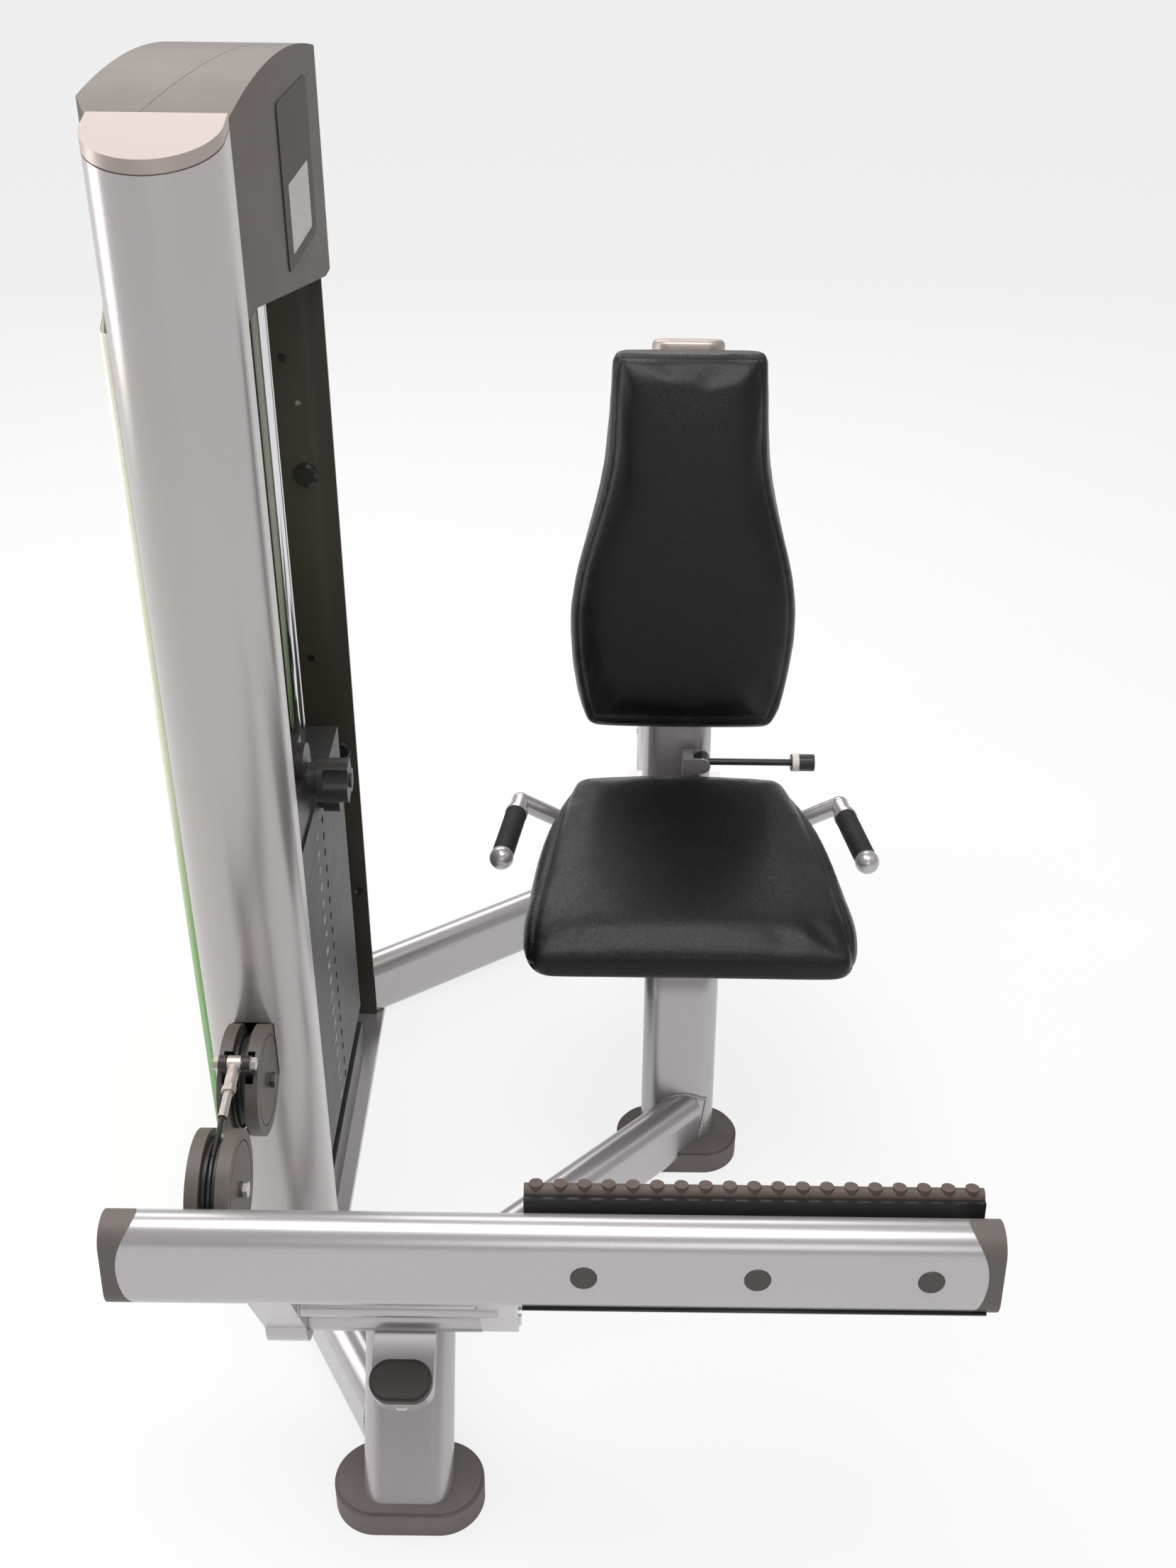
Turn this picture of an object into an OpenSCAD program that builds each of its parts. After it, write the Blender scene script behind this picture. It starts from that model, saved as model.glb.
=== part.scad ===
// Seated calf raise machine with a guarded cable drive and a selector weight stack.
// Millimetres. Origin under the front foot, X to the seat side, Y to the backrest, Z up.

/* [Frame tube] */
// Long side of the flat oval frame tube
tube_w = 102; // [90:1:112]
// Short side of the flat oval frame tube
tube_t = 51; // [46:1:56]
// Wall of the frame tube
tube_wall = 3; // [2:0.5:5]
// Lean of the front post from upright, in degrees
post_lean = 32; // [28:1:36]
// Rubber foot, length across the tube
foot_len = 171; // [160:1:185]
// Rubber foot, width
foot_wid = 100; // [90:1:110]
// Rubber foot, height
foot_h = 38; // [30:1:44]

/* [Press arm] */
// Height of the arm pivot
pivot_z = 245; // [240:1:252]
// Depth of the arm pivot
pivot_y = 64; // [60:1:68]
// Pivot housing diameter
housing_d = 50; // [44:1:56]
// Pivot shaft diameter
shaft_d = 25; // [20:1:28]
// Foot bar length
bar_len = 888; // [860:1:910]
// Foot bar lean from upright, in degrees
bar_lean = 8; // [4:1:12]
// Travel of the press arm, in degrees
arm_travel = 60; // [50:1:62]
// Cross bar diameter
cross_d = 25.4; // [20:0.2:30]
// Tread studs in the row
stud_count = 19; // [15:1:22]
// Tread stud diameter
stud_d = 18; // [12:0.5:20]

/* [Pulleys] */
// Cable diameter
cable_d = 6.4; // [5:0.1:7]
// Radius of the cable's centre line round a pulley
wrap_r = 52; // [49:0.5:54]
// Pulley guard diameter
guard_d = 126; // [124:1:130]
// Overall width over a pair of guards
guard_w = 45; // [44:0.5:50]
// Pulley axle diameter
axle_d = 12; // [10:0.5:14]

/* [Tower] */
// Height of the column at its back edge
column_h = 1437; // [1425:1:1450]
// Width of the column
column_w = 125; // [118:1:132]
// Depth of the column
column_depth = 85; // [80:1:90]
// Wall of the column
column_wall = 3; // [2:0.5:4]
// Slope of the column's cap, in degrees
cap_slope = 15; // [10:1:18]
// Depth of the weight bay behind the column
bay_depth = 480; // [470:1:500]
// Wall of the shroud
shroud_wall = 4; // [3:0.5:5]

/* [Weight stack] */
// Number of weight plates
plate_count = 18; // [12:1:20]
// Weight plate thickness
plate_t = 25; // [22:0.5:25.2]
// Distance from plate to plate
plate_pitch = 25.4; // [25.4:0.1:27]
// Weight plate width
plate_w = 90; // [80:1:96]
// Weight plate length
plate_len = 330; // [310:1:340]
// Guide rod diameter
rod_d = 19; // [16:0.5:20]
// Guide rod spacing
rod_gap = 250; // [230:1:260]
// Selector stem diameter
stem_d = 25; // [22:0.5:28]
// Selector pin diameter
pin_d = 10; // [8:0.5:11]

/* [Seat] */
// Middle of the seat, from the front foot
seat_x = 327.5; // [320:0.5:335]
// Top of the seat pad
seat_top = 466; // [455:1:475]
// Widest part of the seat pad
seat_w = 443; // [420:1:460]
// Length of the seat pad
seat_len = 435; // [420:1:450]
// Widest part of the back pad
back_w = 328; // [310:1:340]
// Length of the back pad
back_len = 532; // [500:1:550]
// Back pad thickness
back_t = 60; // [52:1:66]
// Recline of the back, in degrees
recline = 14; // [10:1:18]
// Seat travel along the rail
seat_travel = 150; // [100:1:170]
// Hand grip diameter
grip_d = 29; // [27:0.5:34]
// Handle tube diameter
handle_d = 25; // [20:0.5:26]

/* [Hidden] */
$fn = 72;
running_gap = 0.05;
body_gap = 0.3;
weld_gap = 0.2;
eps = 0.01;
far = 2000;

tube_mid_z = 56;
foot_recess = 6;

post_axis_y = -10.4;
post_axis_z = 31.5;
post_len = 268;
housing_x0 = -105;
housing_x1 = 85;
bush_t = 3;
arm_left_x0 = -150;
arm_left_w = 44.7;
arm_left_r = 36;
arm_right_x0 = 85.3;
arm_right_w = 40;
arm_right_r = 24;
cross_y = 12;
cross_z = 311;
puck_len = 68;
puck_wid = 44;
puck_t = 20;
puck_lean = 27;
groove_depth = 3;
bracket_t = 6;
bar_x = 165;
bar_y = -35;
bar_z = 435;
cap_mid = 15;
cap_arc_r = 80;
plug_d = 27;
plug_head = 1.5;
plug_first = 196;
plug_step = 171;
plug_count = 3;
tread_x0 = 135;
tread_len = 462;
tread_h = 126;
tread_t = 15;
foot_plate_t = 6;
stud_h = 3;
tread_rib = 2;

pulley_x = -187;
arm_pulley_y = 62;
column_pulley_y = 230;
pulley_z = 428;
wheel_w = 15;
wheel_lip = 2.6;
guard_t = 14;
ear_t = 8.6;
ear_r = 18;
ear_gap = 0.2;
hub_pocket_r = ear_r + 3;
anchor_y = 184;
anchor_z = 493;
anchor_d = 10;
anchor_r = 9;
clevis_len = 34;
clevis_w = 14.5;
ferrule_len = 34;
ferrule_d = 9.5;
ferrule_nut = 8;

column_x = -190.5;
column_y1 = 360;
column_y0 = column_y1 - column_depth;
column_arc_y = column_y0 + column_w / 2;
base_t = 12;
cap_band = 12;
cap_neck = 1.5;
cap_neck_inset = 2;
slot_w = 19;
slot_z0 = 372;
slot_z1 = 470;
bay_x0 = -280.5;
bay_x1 = -130.5;
bay_y1 = column_y1 + bay_depth;
flare_y = 430;
shroud_top = 1448;
shroud_z_front = 1250;
shroud_z_rear = 1170;
shroud_dome = 1500;
shroud_corner = 22;
seam_r = 3085;
seam_rear_x = -172;
seam_gap = 0.5;
cover_t = 4;
upright_t = 40;
upright_w = 90;
upright_top = 1300;
panel_t = 3;
panel_x1 = -137;
panel_cap_d = 32;
beam_below_top = 190;
top_beam_z = shroud_top - beam_below_top;
top_beam_t = 20;
top_beam_w = 70;
top_pulley_z = top_beam_z + top_beam_t + wrap_r + 9;
top_front_y = column_pulley_y + 2 * wrap_r;
stack_y = 585;
top_rear_y = stack_y - wrap_r;
bolster_h = 60;
bumper_h = 33;
bumper_d = 52;
stack_z = base_t + bolster_h + bumper_h;
stack_top = stack_z + (plate_count - 1) * plate_pitch + plate_t;
head_z = stack_top + body_gap;
head_t = 30;
head_top = head_z + head_t;
rod_hole = rod_d + 5;
stem_hole = stem_d + 4;
pin_hole = pin_d + 1;
pin_reach = plate_w / 2 + stem_d / 2 - 1;
pin_head_d = 26;
pin_head_len = 26;
block_y0 = 430;
block_y1 = 562;
block_h = 98;
block_w = 84;
knob_y = 540;
knob_z = head_top + 45;
knob_d = 55;
knob_len = 38;
knob_lobes = 3;
socket_top = head_top + 70;

placard_y = 600;
placard_z = 1235;
placard_len = 190;
placard_h = 170;
placard_t = 1.5;
placard_corner = 10;

bracket_run = 90;
skirt_h = 26;

leg_lean = 11;
leg_y = 566;
bend_r = 110;
rail_z = 335;
rail_y1 = 1225;
bend_y = leg_y + (rail_z - bend_r * (1 - sin(leg_lean))) * tan(leg_lean) + bend_r * cos(leg_lean);
rear_leg_y = 1199;
sleeve_wall = 6;
deck_z = rail_z + tube_t / 2 + body_gap + sleeve_wall;
deck_t = 16;
deck_w = 140;
deck_nose = 150;
deck_nose_w = 60;
board_t = 16;
board_z = deck_z + deck_t;
pad_z = board_z + board_t;
seat_y0 = 436;
seat_y1 = seat_y0 + seat_len;
sleeve_front = 126;
sleeve_rear = 114;
sleeve_y0 = seat_y1 - sleeve_front;
sleeve_y1 = seat_y1 + sleeve_rear;
back_y = seat_y1;
back_z = 520;
back_board_t = 12;
back_post_off = back_t + back_board_t + tube_t / 2;
back_post_z1 = 1030;
elbow_x = 230;
elbow_back = 51;
elbow_y = seat_y1 - elbow_back;
elbow_z = 430;
grip_end_x = 251;
grip_run = 150;
grip_end_y = elbow_y - grip_run;
grip_end_z = 430;
elbow_swell = 1;
inner_x = 132;
inner_back = 36;
inner_y = seat_y1 - inner_back;
inner_z = board_z - handle_d / 2 - 2;
lever_x = 361;
lever_behind = 19;
lever_y = back_y + lever_behind;
lever_z = 458;
lever_d = 10;
lever_len = 131;
knob_ball = 25;
lever_knob_len = 34;
hub_r = 12;
hub_len = 22;
hub_pin_d = 8;

function unit(v) = v / norm(v);
function turn(p, a) = [p[0] * cos(a) - p[1] * sin(a), p[0] * sin(a) + p[1] * cos(a)];

// Half of the angle between a line to a point and the tangent that touches a wheel
anchor_dy = anchor_y - arm_pulley_y;
anchor_dz = anchor_z - pulley_z;
anchor_far = norm([anchor_dy, anchor_dz]);
touch_a = atan2(anchor_dz, anchor_dy) + acos(wrap_r / anchor_far);
touch_y = arm_pulley_y + wrap_r * cos(touch_a);
touch_z = pulley_z + wrap_r * sin(touch_a);
lead_dir = unit([touch_y - anchor_y, touch_z - anchor_z]);
lead_a = atan2(lead_dir[1], lead_dir[0]);
lead_len = norm([touch_y - anchor_y, touch_z - anchor_z]);
fixed_len = clevis_len + ferrule_nut + ferrule_len;

landing = turn([cross_y - pivot_y, cross_z - pivot_z], arm_travel);
puck_reach = puck_t / 2 + cross_d / 2 - groove_depth + body_gap;
puck_y = pivot_y + landing[0] + puck_reach * sin(puck_lean);
puck_z = pivot_z + landing[1] - puck_reach * cos(puck_lean);

module oval(w, t) {
    square([w - t, t], center = true);
    for (s = [-1, 1]) translate([s * (w - t) / 2, 0]) circle(d = t);
}

module oval_ring(w, t, wall) {
    difference() {
        oval(w, t);
        oval(w - 2 * wall, t - 2 * wall);
    }
}

// Round bar from one point to another
module rod(a, b, d) {
    v = b - a;
    translate(a)
        rotate([0, acos(v[2] / norm(v)), atan2(v[1], v[0])])
            cylinder(d = d, h = norm(v));
}

// Disc or bar lying along X
module along_x(x0, len, d) {
    translate([x0, 0, 0]) rotate([0, 90, 0]) cylinder(d = d, h = len);
}

// Flat outline drawn in depth and height, given a thickness along X
module slab_x(x0, len) {
    translate([x0, 0, 0]) rotate([90, 0, 90]) linear_extrude(len) children();
}

// Tube standing on edge between two points of the floor plan
module floor_tube(a, b, hollow, grow = 0) {
    v = b - a;
    translate([a[0], a[1], tube_mid_z])
        rotate([0, 0, atan2(v[1], v[0])])
            rotate([90, 0, 90])
                linear_extrude(norm(v))
                    rotate(90)
                        if (hollow) oval_ring(tube_w, tube_t, tube_wall);
                        else oval(tube_w + 8 * grow, tube_t + 2 * grow);
}

module rubber_foot(socket) {
    difference() {
        union() {
            linear_extrude(foot_h - foot_recess) oval(foot_len, foot_wid);
            translate([0, 0, foot_h - foot_recess])
                linear_extrude(foot_recess) oval(foot_len - 8, foot_wid - 8);
        }
        children();
    }
}

// What stands in a rubber foot starts above its sole
module above_recess() {
    intersection() {
        children();
        translate([-far / 2, -far / 2, foot_recess]) cube([far, far, far]);
    }
}

module post_core(w, t, z0, len) {
    translate([0, post_axis_y, post_axis_z])
        rotate([-post_lean, 0, 0])
            translate([0, 0, z0]) linear_extrude(len) oval(w, t);
}

module front_foot() {
    color("#5f5753")
        rubber_foot()
            above_recess() post_core(tube_w, tube_t, -20, post_len);
}

module front_post() {
    color("#b9b7ba")
        difference() {
            post_core(tube_w, tube_t, -20, post_len + 20);
            post_core(tube_w - 2 * tube_wall, tube_t - 2 * tube_wall, -40, post_len + 60 - tube_wall);
            translate([-far / 2, -far / 2, -far + foot_recess]) cube([far, far, far]);
            translate([0, pivot_y, pivot_z]) along_x(-far / 2, far, housing_d);
        }
}

module pivot_housing() {
    color("#a9a9ad")
        translate([0, pivot_y, pivot_z])
            difference() {
                along_x(housing_x0, housing_x1 - housing_x0, housing_d);
                along_x(housing_x0 - 1, housing_x1 - housing_x0 + 2, shaft_d + 2 * bush_t);
            }
}

module pivot_bushes() {
    bush_len = 30;
    color("#3a3836")
        translate([0, pivot_y, pivot_z])
            for (x = [housing_x0, housing_x1 - bush_len])
                difference() {
                    along_x(x, bush_len, shaft_d + 2 * bush_t);
                    along_x(x - 1, bush_len + 2, shaft_d + 2 * running_gap);
                }
}

module puck_place() {
    translate([0, puck_y, puck_z]) rotate([puck_lean, 0, 0]) children();
}

module bumper_bracket() {
    color("#8d8e92")
        difference() {
            puck_place()
                union() {
                    translate([0, 0, -puck_t / 2 - bracket_t])
                        linear_extrude(bracket_t) {
                            oval(puck_len, puck_wid);
                            translate([-puck_len / 2, 0]) square([puck_len, bracket_run]);
                        }
                    translate([0, 0, -puck_t / 2 - bracket_t - skirt_h])
                        linear_extrude(skirt_h)
                            difference() {
                                union() {
                                    oval(puck_len, puck_wid);
                                    translate([-puck_len / 2, 0]) square([puck_len, bracket_run]);
                                }
                                oval(puck_len - 2 * bracket_t, puck_wid - 2 * bracket_t);
                                translate([-puck_len / 2 + bracket_t, 0])
                                    square([puck_len - 2 * bracket_t, bracket_run + 10]);
                            }
                }
            post_core(tube_w, tube_t, -20, post_len + 60);
            translate([0, pivot_y, pivot_z]) along_x(-far / 2, far, housing_d + 2 * body_gap);
            translate([-far / 2, 0, 0])
                translate([0, post_axis_y, post_axis_z])
                    rotate([-post_lean, 0, 0]) cube([far, far, far]);
        }
}

module stop_bumper() {
    color("#4a4543")
        puck_place()
            difference() {
                translate([0, 0, -puck_t / 2])
                    union() {
                        linear_extrude(puck_t - 4) oval(puck_len, puck_wid);
                        translate([0, 0, puck_t - 4]) linear_extrude(4) oval(puck_len - 6, puck_wid - 6);
                    }
                translate([0, 0, puck_t / 2 + cross_d / 2 - groove_depth])
                    along_x(-puck_len, 2 * puck_len, cross_d + 2 * body_gap);
            }
}

post_back_y = post_axis_y + (tube_mid_z - post_axis_z) * tan(post_lean);
front_tube_a = [0, post_back_y];
front_tube_b = [column_x, column_arc_y];
front_tube_turn = atan2(front_tube_b[1] - front_tube_a[1], front_tube_b[0] - front_tube_a[0]);
seat_tube_a = [-92, 143];
seat_tube_b = [seat_x + 14, leg_y];
rear_tube_a = [column_x + 40, bay_y1 + upright_t / 2];
rear_tube_b = [seat_x, rear_leg_y];

module column_core(grow) {
    linear_extrude(far) column_outline(grow);
}

module column_outline(grow) {
    intersection() {
        translate([column_x, column_arc_y]) circle(d = column_w + 2 * grow, $fn = 96);
        translate([column_x - far / 2, column_arc_y - far + 1]) square([far, far]);
    }
    translate([column_x - column_w / 2 - grow, column_arc_y])
        square([column_w + 2 * grow, column_y1 - column_arc_y + grow]);
}

module base_tube_front() {
    color("#b3b1b5")
        difference() {
            floor_tube(front_tube_a, front_tube_b, true);
            post_core(tube_w, tube_t, -60, post_len + 60);
            translate([-far / 2, 0, 0])
                translate([0, post_axis_y, post_axis_z])
                    rotate([-post_lean, 0, 0]) translate([0, -far, -far / 2]) cube([far, far, far]);
            column_core(0);
            tower_base_body();
            foot_block(0, 0);
        }
}

// Space taken by a rubber foot, for coping what comes to it
module foot_block(x, y) {
    translate([x, y, -eps]) linear_extrude(foot_h + 2 * eps) oval(foot_len, foot_wid);
}

module base_tube_seat() {
    color("#b3b1b5")
        difference() {
            floor_tube(seat_tube_a, seat_tube_b, true);
            floor_tube(front_tube_a, front_tube_b, false, weld_gap);
            translate([front_tube_a[0], front_tube_a[1], -1])
                rotate([0, 0, front_tube_turn]) cube([far, far, far]);
            leg_core(tube_w, tube_t);
            foot_block(seat_x, leg_y);
            translate([-far / 2, 0, 0])
                translate([0, leg_y, 0]) rotate([-leg_lean, 0, 0]) translate([0, 0, -far / 2])
                    cube([far, far, far]);
        }
}

module base_tube_rear() {
    color("#b3b1b5")
        difference() {
            floor_tube(rear_tube_a, rear_tube_b, true);
            translate([seat_x, rear_leg_y, -1]) linear_extrude(far) oval(tube_w, tube_t);
            foot_block(seat_x, rear_leg_y);
            translate([column_x - upright_w / 2, bay_y1 + panel_t + 1, -1]) cube([upright_w, upright_t, far]);
            translate([seat_x, rear_leg_y, -1]) cube([far, far, far]);
            translate([column_x - far, 0, -1]) cube([far, far, far]);
            translate([panel_x1 - far, bay_y1 + panel_t + 1 - far, -1]) cube([far, far, far]);
            tower_base_body();
        }
}

module leg_core(w, t) {
    straight = (rail_z - bend_r * (1 - sin(leg_lean))) / cos(leg_lean);
    translate([seat_x, leg_y, 0])
        rotate([-leg_lean, 0, 0])
            translate([0, 0, -20]) linear_extrude(straight + 20) oval(w, t);
    translate([seat_x, bend_y, rail_z - bend_r])
        rotate([0, 90, 0])
            rotate([0, 0, 180])
                rotate_extrude(angle = 90 - leg_lean)
                    translate([bend_r, 0]) rotate(90) oval(w, t);
}

module seat_leg() {
    color("#b9b7ba")
        difference() {
            leg_core(tube_w, tube_t);
            leg_core(tube_w - 2 * tube_wall, tube_t - 2 * tube_wall);
            translate([-far / 2, -far / 2, -far + foot_recess]) cube([far, far, far]);
        }
}

module seat_rail() {
    color("#b9b7ba")
        translate([seat_x, bend_y, rail_z])
            rotate([-90, 0, 0]) linear_extrude(rail_y1 - bend_y) oval_ring(tube_w, tube_t, tube_wall);
}

module seat_feet() {
    color("#5f5753")
        translate([seat_x, leg_y, 0])
            rubber_foot()
                above_recess() translate([-seat_x, -leg_y, 0]) leg_core(tube_w, tube_t);
    color("#5f5753")
        translate([seat_x, rear_leg_y, 0])
            rubber_foot()
                translate([0, 0, foot_recess]) linear_extrude(far) oval(tube_w, tube_t);
}

module rear_leg() {
    color("#b9b7ba")
        difference() {
            translate([seat_x, rear_leg_y, foot_recess])
                linear_extrude(rail_z - foot_recess) oval_ring(tube_w, tube_t, tube_wall);
            translate([seat_x, bend_y, rail_z])
                rotate([-90, 0, 0]) linear_extrude(rail_y1 - bend_y + 10) oval(tube_w, tube_t);
        }
}

module rail_cap() {
    cap_t = 6;
    color("#5f5753")
        translate([seat_x, rail_y1, rail_z])
            rotate([-90, 0, 0])
                union() {
                    linear_extrude(cap_t - 2) oval(tube_w, tube_t);
                    translate([0, 0, cap_t - 2]) linear_extrude(2) oval(tube_w - 4, tube_t - 4);
                    translate([0, 0, -12])
                        linear_extrude(13) oval(tube_w - 2 * tube_wall, tube_t - 2 * tube_wall);
                }
}

module tower_base_outline() {
    corner = 60;
    x0 = bay_x0 + cover_t;
    x1 = bay_x1 + 4;
    y1 = bay_y1 + upright_t + 6;
    translate([x0, column_arc_y]) square([x1 - x0 - corner, y1 - column_arc_y]);
    translate([x0, flare_y]) square([x1 - x0, y1 - flare_y]);
    translate([x1 - corner, flare_y]) intersection() {
        circle(r = corner);
        translate([0, -corner]) square([corner, corner + 1]);
    }
    translate([column_x, column_arc_y]) circle(d = column_w + 20);
}

module tower_base_body() {
    linear_extrude(base_t) tower_base_outline();
}

module tower_base() {
    color("#1d1c1d")
        difference() {
            tower_base_body();
            guide_rod_places() translate([0, 0, -1]) cylinder(d = rod_d - 6, h = base_t + 2);
        }
}

module sloped_cut(drop) {
    translate([column_x, column_y1, column_h - drop])
        rotate([cap_slope, 0, 0]) translate([-far / 2, -far / 2, 0]) cube([far, far, far]);
}

module guard_space(y) {
    translate([0, y, pulley_z])
        along_x(pulley_x - guard_w / 2 - 1, guard_w + 2, guard_d + 3);
}

module tower_column() {
    color("#aba9ad")
        difference() {
            translate([0, 0, base_t]) column_core(0);
            translate([0, 0, base_t - 1]) column_core(-column_wall);
            sloped_cut(cap_band + cap_neck);
            guard_space(column_pulley_y);
            translate([pulley_x - slot_w / 2, column_y0 - 5, slot_z0])
                cube([slot_w, column_depth / 2, slot_z1 - slot_z0]);
            translate([pulley_x - slot_w / 2 - 6, column_y1 - 2 * column_wall, top_beam_z])
                cube([slot_w + 12, 3 * column_wall, top_pulley_z + wrap_r + cable_d + 2 - top_beam_z]);
        }
}

module column_cap() {
    color("#a29c9d")
        union() {
            intersection() {
                translate([0, 0, base_t]) column_core(0);
                difference() {
                    sloped_cut(cap_band);
                    sloped_cut(0);
                }
            }
            intersection() {
                translate([0, 0, base_t]) column_core(-cap_neck_inset);
                difference() {
                    sloped_cut(cap_band + cap_neck);
                    sloped_cut(cap_band - 1);
                }
            }
        }
}

module rear_upright() {
    color("#b9b7ba")
        translate([column_x - upright_w / 2, bay_y1 + panel_t + 1, base_t])
            difference() {
                cube([upright_w, upright_t, upright_top - base_t]);
                translate([tube_wall, tube_wall, -1])
                    cube([upright_w - 2 * tube_wall, upright_t - 2 * tube_wall, far]);
            }
}

panel_holes = [[-178, 1010, 8], [-166, 470, 7], [-160, 420, 7], [-152, 250, 9]];
panel_plugs = [[-176, 915], [-160, 500]];

module rear_panel() {
    color("#4b4240")
        difference() {
            translate([bay_x0 + cover_t, bay_y1, base_t])
                cube([panel_x1 - bay_x0 - cover_t, panel_t + 1, top_beam_z - base_t]);
            for (h = panel_holes)
                translate([h[0], bay_y1 - 1, h[1]])
                    rotate([-90, 0, 0]) cylinder(d = h[2], h = panel_t + 3);
            for (p = panel_plugs)
                translate([p[0], bay_y1 - 1, p[1]])
                    rotate([-90, 0, 0]) cylinder(d = panel_cap_d - 10, h = panel_t + 3);
        }
}

module panel_caps() {
    color("#161514")
        for (p = panel_plugs)
            translate([p[0], bay_y1, p[1]])
                rotate([90, 0, 0])
                    union() {
                        cylinder(d = panel_cap_d, h = 3);
                        translate([0, 0, 3]) cylinder(d1 = panel_cap_d, d2 = panel_cap_d - 8, h = 3);
                        translate([0, 0, -panel_t]) cylinder(d = panel_cap_d - 10, h = panel_t + 1);
                    }
}

module left_cover() {
    edge_x = column_x - column_w / 2;
    color("#cfd8c0", 0.7)
        difference() {
            translate([0, 0, base_t])
                linear_extrude(shroud_top - base_t)
                    polygon([
                        [edge_x - cover_t, column_y1 - 8], [edge_x, column_y1 - 8],
                        [edge_x, column_y1 + 4], [bay_x0 + cover_t, flare_y],
                        [bay_x0 + cover_t, bay_y1 + panel_t + 1], [bay_x0, bay_y1 + panel_t + 1],
                        [bay_x0, flare_y - 2]
                    ]);
            shroud_side(0);
            translate([bay_x0 - 1, 0, shroud_z_front]) cube([far, far, far]);
        }
}

module shroud_plan(inset) {
    edge_x = column_x - column_w / 2;
    offset_y = column_y1 + 0.5 + inset;
    r = shroud_corner - inset;
    rear = bay_y1 + upright_t + 14 - inset;
    difference() {
        union() {
            translate([bay_x0 + inset, flare_y])
                square([bay_x1 - bay_x0 - 2 * inset, rear - r - flare_y]);
            translate([bay_x0 + inset + r, rear - r - eps])
                square([bay_x1 - bay_x0 - 2 * inset - 2 * r, r + eps]);
            for (x = [bay_x0 + inset + r, bay_x1 - inset - r])
                translate([x, rear - r]) circle(r = r);
            polygon([
                [edge_x + inset, offset_y], [bay_x1 - inset, offset_y],
                [bay_x1 - inset, flare_y + eps], [bay_x0 + inset, flare_y + eps]
            ]);
        }
    }
}

module shroud_side(inset) {
    y0 = column_y1 - 20;
    y1 = bay_y1 + upright_t + 30;
    mid = (column_y1 + bay_y1) / 2;
    cut_down = inset > 0 ? 5 : 0;
    slab_x(bay_x0 - 20, 200)
        intersection() {
            polygon([
                [y0, shroud_z_front - cut_down], [column_y1 + 60, shroud_z_front - cut_down],
                [bay_y1, shroud_z_rear - cut_down], [y1, shroud_z_rear - cut_down],
                [y1, shroud_top + 50], [y0, shroud_top + 50]
            ]);
            translate([mid, shroud_top - inset - shroud_dome]) circle(r = shroud_dome, $fn = 360);
        }
}

module shroud_shell() {
    difference() {
        intersection() {
            linear_extrude(far) shroud_plan(0);
            shroud_side(0);
        }
        intersection() {
            linear_extrude(far) shroud_plan(shroud_wall);
            shroud_side(shroud_wall);
        }
        translate([column_x - top_beam_w / 2 - 1, column_y1 - 5, shroud_z_front - 1])
            cube([top_beam_w + 2, 15, top_pulley_z + wrap_r + 8 - shroud_z_front]);
    }
}

module seam_side(gap) {
    translate([seam_rear_x - seam_r, bay_y1 + upright_t, -1])
        cylinder(r = seam_r - gap, h = far, $fn = 360);
}

module shroud_left() {
    color("#6d625d")
        intersection() {
            shroud_shell();
            seam_side(seam_gap);
        }
}

module shroud_right() {
    color("#655b57")
        difference() {
            shroud_shell();
            seam_side(0);
        }
}

module placard() {
    color("#3a3230")
        translate([bay_x1, placard_y, placard_z])
            rotate([90, 0, 90])
                linear_extrude(placard_t)
                    union() {
                        translate([placard_corner, 0])
                            square([placard_len - 2 * placard_corner, placard_h]);
                        translate([0, placard_corner])
                            square([placard_len, placard_h - 2 * placard_corner]);
                        for (x = [placard_corner, placard_len - placard_corner],
                             z = [placard_corner, placard_h - placard_corner])
                            translate([x, z]) circle(r = placard_corner);
                    }
}

module guide_rod_places() {
    for (s = [-1, 1]) translate([column_x, stack_y + s * rod_gap / 2, 0]) children();
}

module top_beam() {
    color("#2b2a2b")
        difference() {
            translate([column_x - top_beam_w / 2, column_y1, top_beam_z])
                cube([top_beam_w, bay_y1 + panel_t + 1 - column_y1, top_beam_t]);
            guide_rod_places() cylinder(d = rod_d, h = far);
            translate([column_x, stack_y, 0]) cylinder(d = cable_d + 12, h = far);
        }
}

module guide_rods() {
    color("#d6d8da")
        guide_rod_places()
            translate([0, 0, base_t]) cylinder(d = rod_d, h = top_beam_z + top_beam_t - base_t);
}

module stack_bolster() {
    color("#242324")
        difference() {
            translate([column_x - plate_w / 2, stack_y - plate_len / 2, base_t])
                cube([plate_w, plate_len, bolster_h]);
            translate([column_x - plate_w / 2 + 5, stack_y - plate_len / 2 - 1, base_t - 1])
                cube([plate_w - 10, plate_len + 2, bolster_h - 4]);
            guide_rod_places() cylinder(d = rod_d, h = far);
            translate([column_x, stack_y, 0]) cylinder(d = stem_hole, h = far);
        }
}

module stack_bumpers() {
    color("#181717")
        guide_rod_places()
            translate([0, 0, base_t + bolster_h])
                difference() {
                    cylinder(d = bumper_d, h = bumper_h);
                    translate([0, 0, -1]) cylinder(d = rod_d, h = bumper_h + 2);
                }
}

module weight_plates() {
    color("#33332f")
        for (i = [0 : plate_count - 1])
            translate([column_x, stack_y, stack_z + i * plate_pitch])
                difference() {
                    translate([-plate_w / 2, -plate_len / 2, 0]) cube([plate_w, plate_len, plate_t]);
                    for (s = [-1, 1])
                        translate([0, s * rod_gap / 2, -1]) cylinder(d = rod_hole, h = plate_t + 2);
                    translate([0, 0, -1]) cylinder(d = stem_hole, h = plate_t + 2);
                    translate([0, 0, plate_t / 2]) along_x(0, plate_w, pin_hole);
                }
}

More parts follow.
